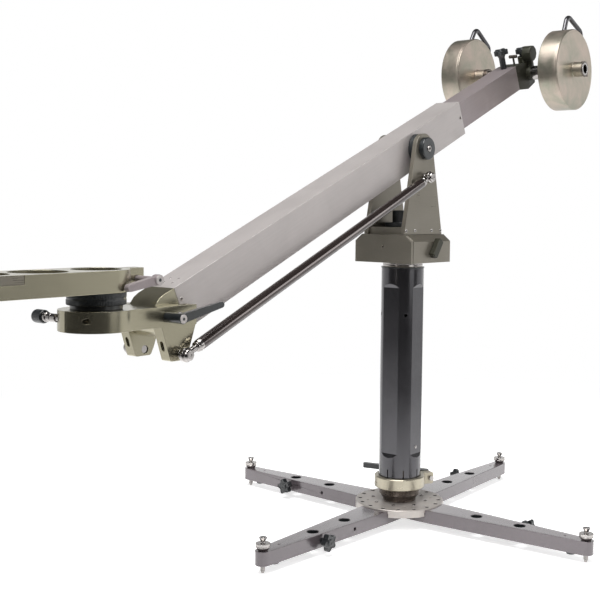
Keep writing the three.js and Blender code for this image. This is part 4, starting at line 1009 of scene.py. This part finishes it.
def add_screw_head(shape, place, radius, height, socket):
    """A socket head standing on the board's XY plane, with its socket facing +Z."""
    rims = [
        (radius, 24, -HEAD_SINK), (radius, 24, height * CROWN_START),
        (radius * CROWN_RADIUS, 24, height), (radius * socket, 6, height),
        (radius * socket, 6, height * SOCKET_FLOOR),
    ]
    loops = []
    for size, corners, level in rims:
        loop = bmesh.ops.create_circle(shape, cap_ends=False, radius=size, segments=corners)
        bmesh.ops.translate(shape, verts=loop["verts"], vec=(0, 0, level))
        loops.append(loop["verts"])
    edges = [list({e for v in loop for e in v.link_edges}) for loop in loops]
    shape.faces.new(reversed(loops[0]))
    shape.faces.new(loops[-1])
    for low, high in zip(edges, edges[1:]):
        bmesh.ops.bridge_loops(shape, edges=low + high)
    bmesh.ops.transform(shape, matrix=place, verts=[v for loop in loops for v in loop])


def screws(name, places, body, radius, height, socket=0.5, slot="bright_steel"):
    """One piece of screw heads at every place, and one of black plugs in their sockets as painted
    shade.
    """
    heads, socket_shade_plugs = bmesh.new(), []
    depth = plug(radius * socket * PLUG_FIT, height * SOCKET_FLOOR, height * CROWN_START)
    for place in places:
        add_screw_head(heads, place, radius, height, socket)
        socket_shade_plugs.append(lathe(depth, place, steps=6, ease=0))
    keep_piece(name, heads, slot, body, level=False)
    # The black plugs paint the shade in the depths of the sockets.
    keep_piece(f"{name}_sockets", together(*socket_shade_plugs), "black_plastic", body, level=False)


print("a screw head can be drawn")


# %% All screws
CHEEK_FACE = 62.5
CHEEK_BOLTS = (-77.7, -38.6, 37.4, 79.7)
CHEEK_BOLT_HEIGHT = 724.7
BOSS_SCREWS = 8
BOSS_SCREW_REACH = 70
for (side, sign), way in zip(HANDS, (TO_LEFT, TO_RIGHT)):
    cheek_bolts = [on(FLOOR, x, sign * CHEEK_FACE, CHEEK_BOLT_HEIGHT) @ way for x in CHEEK_BOLTS]
    screws(f"cheek_screws_{side}", cheek_bolts, "turntable", radius=4.6, height=0.9)
    screws(f"nose_screw_{side}", [on(BOOM, -878.7, sign * 36.7, 17.3) @ way], "boom",
           radius=4.4, height=0.4, slot="plate_metal")
    screws(f"column_screw_{side}", [on(FLOOR, 0, sign * 49.1, 164.0) @ way], "base",
           radius=4.4, height=1.2)
    screws(f"axle_knob_screw_{side}", [on(TILT_AXLE, y=sign * 76.3) @ way], f"tilt_knob_{side}",
           radius=8.0, height=1.6)
angles = [FULL_TURN * (i + 0.5) / BOSS_SCREWS for i in range(BOSS_SCREWS)]
boss_places = [
    on(FLOOR, BOSS_SCREW_REACH * math.cos(a), BOSS_SCREW_REACH * math.sin(a), 19.5) for a in angles
]
screws("boss_screws", boss_places, "base", radius=4.8, height=1.6)
nose_places = [on(BOOM, x, y, 45.5) for x in (-868.0, -850.0) for y in (-12.0, 12.0)]
screws("nose_top_screws", nose_places, "boom", radius=2.2, height=0.4)
print("screws done")

# %% [markdown]
# ## Star knobs
#
# A five-lobed knob is moulded in one piece: a short neck, a cone, and the lobed head with its
# soft edges. The outline of the head is one formula, a circle whose radius rises and falls
# five times. The head is drawn as one face, extruded, and the top is inset and pressed down
# a little, so that the lobes stand a bit higher than the middle.


# %% The star knob
LOBES = 5
LOBE_MIDDLE = 17.9
LOBE_SWELL = 3.4
LOBE_STEPS = 80
HEAD_THICKNESS = 14.9


def star_knob(place, neck_height, neck_radius, stem_depth, stem_radius):
    """A star knob that stands on its board, with its lobes up at neck_height and above."""
    head = bmesh.new()
    corners = []
    for i in range(LOBE_STEPS):
        angle = FULL_TURN * i / LOBE_STEPS
        radius = LOBE_MIDDLE + LOBE_SWELL * math.cos(LOBES * angle)
        corners.append(
            head.verts.new((radius * math.cos(angle), radius * math.sin(angle), neck_height))
        )
    bottom = head.faces.new(corners)
    made = bmesh.ops.extrude_face_region(head, geom=[bottom], use_keep_orig=True)["geom"]
    bmesh.ops.translate(head, verts=only(bmesh.types.BMVert, made), vec=(0, 0, HEAD_THICKNESS))
    top = only(bmesh.types.BMFace, made)[0]
    bmesh.ops.inset_region(head, faces=[top], thickness=4.0, depth=0.0)
    bmesh.ops.translate(head, verts=top.verts, vec=(0, 0, -2.5))
    bmesh.ops.recalc_face_normals(head, faces=head.faces)
    rims = [e for e in head.edges if e.is_manifold and e.calc_face_angle() > math.radians(60)]
    broken_edges(head, rims, 1.6, rows=3)
    bmesh.ops.transform(head, matrix=place, verts=head.verts)
    stem = [
        (0, -stem_depth), (stem_radius, -stem_depth), (stem_radius, 0), (neck_radius, 0),
        (neck_radius, neck_height - 8), (13.5, neck_height + 0.5), (0, neck_height + 0.5),
    ]
    cap = [(0, 10), (8.5, 10), (8.5, 13.8), (7.5, 15.4), (3.4, 15.4), (3.0, 14.2), (0, 14.2)]
    cap_shape = lathe(cap, on(place, z=neck_height), steps=40, ease=0.4)
    return together(head, lathe(stem, place, steps=40), cap_shape)


print("a star knob can be moulded")


# %% Six star knobs and the pin with the T handle
LEG_MIDDLE = 0.25
LEG_SIDE = 27.2
PULL_PIN = on(BOOM, x=636.0)
for turn, side in enumerate(LEGS):
    beside = around(turn / 4, FAR_BORE, LEG_SIDE, LEG_MIDDLE) @ TO_LEFT
    stand_in(f"socket_knob_{side}", "moulded", star_knob(beside, 14, 8, 8, 3.8), "black_plastic")
for node, place, sizes in (
    ("bracket_lock_knob", on(BOOM, x=570.0, z=34.3), (46, 9, 14, 4.5)),
    ("axle_lock_knob", on(BOOM, x=696.3, z=35.1), (14, 8, 9.7, 4.5)),
):
    stand_in(node, "moulded", star_knob(place, *sizes), "black_plastic")
pull_stem = lathe(plug(2.9, 12, 55), PULL_PIN, steps=24, ease=0.3)
pull_bar = lathe(plug(4.9, -12.9, 12.9), on(PULL_PIN, z=55.0), "Y", 32, 1.2)
stand_in("weight_lock_pin", "turned", together(pull_stem, pull_bar), "dark_steel")
print("knobs moulded:", len(LEGS) + 2)

# %% [markdown]
# ## Small trim
#
# The two clamping levers end in bright caps with a dark screw, and the platform's near side
# has a dark bar let into a groove. Each is a thin piece on the surface of what carries it.

# %% Lever caps and the bar in the platform's side
HEAD_LEVER = on(HEAD, x=-33.0, z=0.8)
PLATFORM_LEVER = on(PLATFORM, x=85.0, z=53.0)
DOT_SHARE = 0.36
for name, place, face, radius, body in (
    ("head_lever_cap", HEAD_LEVER, -107.3, 8.6, "head_lever"),
    ("platform_lever_cap", PLATFORM_LEVER, -78.0, 9.2, "platform_lever"),
):
    cap = lathe(plug(radius, face - 1.0, face + 2.0), place, "Y", 40, 0.6)
    keep_piece(name, cap, "boom_paint", body)
    dot = lathe(plug(radius * DOT_SHARE, face - 1.3, face), place, "Y", 24, 0.2)
    keep_piece(f"{name}_screw", dot, "black_plastic", body)
RAIL_SIZE = (83.4, 3.7, 14.9)
RAIL_MIDDLE = (-240.0, -60.1, 64.85)
rail = bmesh.new()
bmesh.ops.create_cube(rail, size=1.0)
bmesh.ops.scale(rail, verts=rail.verts, vec=RAIL_SIZE)
broken_edges(rail, rail.edges[:], 0.7)
bmesh.ops.transform(rail, matrix=on(PLATFORM, *RAIL_MIDDLE), verts=rail.verts)
keep_piece("platform_rail", rail, "olive", "platform")
print("trim done")

# %% [markdown]
# ## The studio
#
# The floor is plain and pale and runs far enough to meet the white surroundings, so no horizon
# shows. The camera sees the surroundings as white. Polished metal mirrors a low white sweep
# behind the crane and a dim room elsewhere, which gives it a light and a dark side. What lights
# the crane is a soft even world and four softboxes.


# %% What the floor and the surroundings share
SWEEP_SIDE = (0.8, 0.6, 0.0)


def looking_rays(tree):
    """1 for rays straight from the camera, and 1 for rays by way of a mirror or glass."""
    path = tree.nodes.new("ShaderNodeLightPath").outputs
    shine = math_node(tree, "MAXIMUM", path["Is Glossy Ray"], path["Is Transmission Ray"])
    return path["Is Camera Ray"], shine


def fade(tree, value, start, end):
    """A smooth change from 0, where the value is at the start, to 1 at the end."""
    return add_node(
        tree, "ShaderNodeMapRange", {"interpolation_type": "SMOOTHSTEP"}, Value=value,
        From_Min=start, From_Max=end,
    ).outputs[0]


def along_sweep(tree, vector):
    """How far a vector reaches towards the sweep."""
    return add_node(
        tree, "ShaderNodeVectorMath", {"operation": "DOT_PRODUCT"}, _0=vector, _1=SWEEP_SIDE
    ).outputs["Value"]


print("the sweep stands towards", SWEEP_SIDE)

# %% Floor
FLOOR_LEVEL = -0.0352
FLOOR_HALF = 14.0
NEAR_FLOOR, FAR_FLOOR = 0.55, 2.4
SHEET_START, SHEET_END = -1.5, -0.4
NEAR_GLOW = 0.66
floor_shape = bmesh.new()
bmesh.ops.create_grid(floor_shape, x_segments=1, y_segments=1, size=FLOOR_HALF)
bmesh.ops.translate(floor_shape, verts=floor_shape.verts, vec=(0, 0, FLOOR_LEVEL))
floor = put_in_scene("studio_floor", floor_shape)
floor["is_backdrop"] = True

floor_paint = bpy.data.materials.new("pale studio floor")
floor_paint.use_nodes = True
paint = floor_paint.node_tree
floor_shader = paint.nodes["Principled BSDF"]
floor_shader.inputs["Roughness"].default_value = 0.9
floor_shader.inputs["Specular IOR Level"].default_value = 0.0
floor_shader.inputs["Emission Color"].default_value = WHITE
camera_ray, shine = looking_rays(paint)
spot = paint.nodes.new("ShaderNodeTexCoord").outputs["Object"]
distance = add_node(paint, "ShaderNodeVectorMath", {"operation": "LENGTH"}, _0=spot)
far = fade(paint, distance.outputs["Value"], NEAR_FLOOR, FAR_FLOOR)
sheet = fade(paint, along_sweep(paint, spot), SHEET_START, SHEET_END)
glow = math_node(paint, "MULTIPLY_ADD", far, 1.0 - NEAR_GLOW, NEAR_GLOW)
mirrored_sheet = math_node(paint, "MULTIPLY", shine, sheet)
seen = math_node(paint, "MAXIMUM", camera_ray, mirrored_sheet)
fill(paint, floor_shader.inputs["Emission Strength"], math_node(paint, "MULTIPLY", glow, seen))
looked_at = math_node(paint, "MAXIMUM", camera_ray, shine)
fading = math_node(paint, "MULTIPLY", looked_at, far)
tone = mixed_colours(paint, fading, (0.8, 0.8, 0.8, 1.0), (0.0, 0.0, 0.0, 1.0))
fill(paint, floor_shader.inputs["Base Color"], tone)
floor.data.materials.append(floor_paint)
print("floor:", 2 * FLOOR_HALF, "m wide")

# %% Surroundings
WORLD_LIGHT = 0.22
DIM_ROOM = 0.08
SWEEP_EDGE = 0.5
SWEEP_TOP, SWEEP_WHITE = 0.42, 0.24
world = bpy.data.worlds.new("white studio")
world.use_nodes = True
scene.world = world
tree = world.node_tree
room = tree.nodes["Background"]
room.inputs["Color"].default_value = WHITE
room.inputs["Strength"].default_value = WORLD_LIGHT
white = add_node(tree, "ShaderNodeBackground", Color=WHITE, Strength=1.0)
towards = tree.nodes.new("ShaderNodeTexCoord").outputs["Generated"]
rising = add_node(tree, "ShaderNodeSeparateXYZ", Vector=towards).outputs["Z"]
width = fade(tree, along_sweep(tree, towards), -SWEEP_EDGE, SWEEP_EDGE)
height = fade(tree, rising, SWEEP_TOP, SWEEP_WHITE)
sweep = math_node(tree, "MULTIPLY", width, height)
mirrored_white = math_node(tree, "MULTIPLY_ADD", sweep, 1.0 - DIM_ROOM, DIM_ROOM)
camera_ray, shine = looking_rays(tree)
strength = math_node(tree, "MAXIMUM", mirrored_white, camera_ray)
fill(tree, white.inputs["Strength"], strength)
choose = tree.nodes.new("ShaderNodeMixShader")
for socket, value in zip(
    choose.inputs,
    (math_node(tree, "MAXIMUM", camera_ray, shine), room.outputs[0], white.outputs[0]),
):
    fill(tree, socket, value)
tree.links.new(choose.outputs[0], tree.nodes["World Output"].inputs["Surface"])
print("surroundings:", world.name)

# %% Softboxes: place, aim, width in metres and power in watts
softboxes = {
    "overhead softbox": ((-1.2, -0.2, 3.4), (0, 0, 0.5), 2.2, 150.0),
    "right softbox": ((1.6, -2.6, 1.9), (0, 0, 0.6), 1.4, 20.0),
    "front softbox": ((-0.2, -3.0, 1.0), (0, 0, 0.7), 1.4, 8.0),
    "left softbox": ((-3.2, -0.6, 2.4), (0, 0, 0.7), 1.4, 22.0),
}
for name, (place, aim, size, power) in softboxes.items():
    softbox = bpy.data.lights.new(name, "AREA")
    softbox.shape = "SQUARE"
    softbox.size = size
    softbox.energy = power
    lamp = bpy.data.objects.new(name, softbox)
    lamp.location = place
    lamp.rotation_euler = (Vector(aim) - Vector(place)).to_track_quat("-Z", "Y").to_euler()
    scene.collection.objects.link(lamp)
scene.view_settings.view_transform = "Standard"
print("softboxes:", len(softboxes))

# %% [markdown]
# ## Measure and finish
#
# The boxes of the imported crane and of the visual model are both printed. The visual model
# must stay inside the imported crane's box.

# %% Print both boxes
visual_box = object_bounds()
for name, box in (("packed", cad_box), ("visual", visual_box)):
    print(name, "box:", [[round(v, 4) for v in corner] for corner in box])
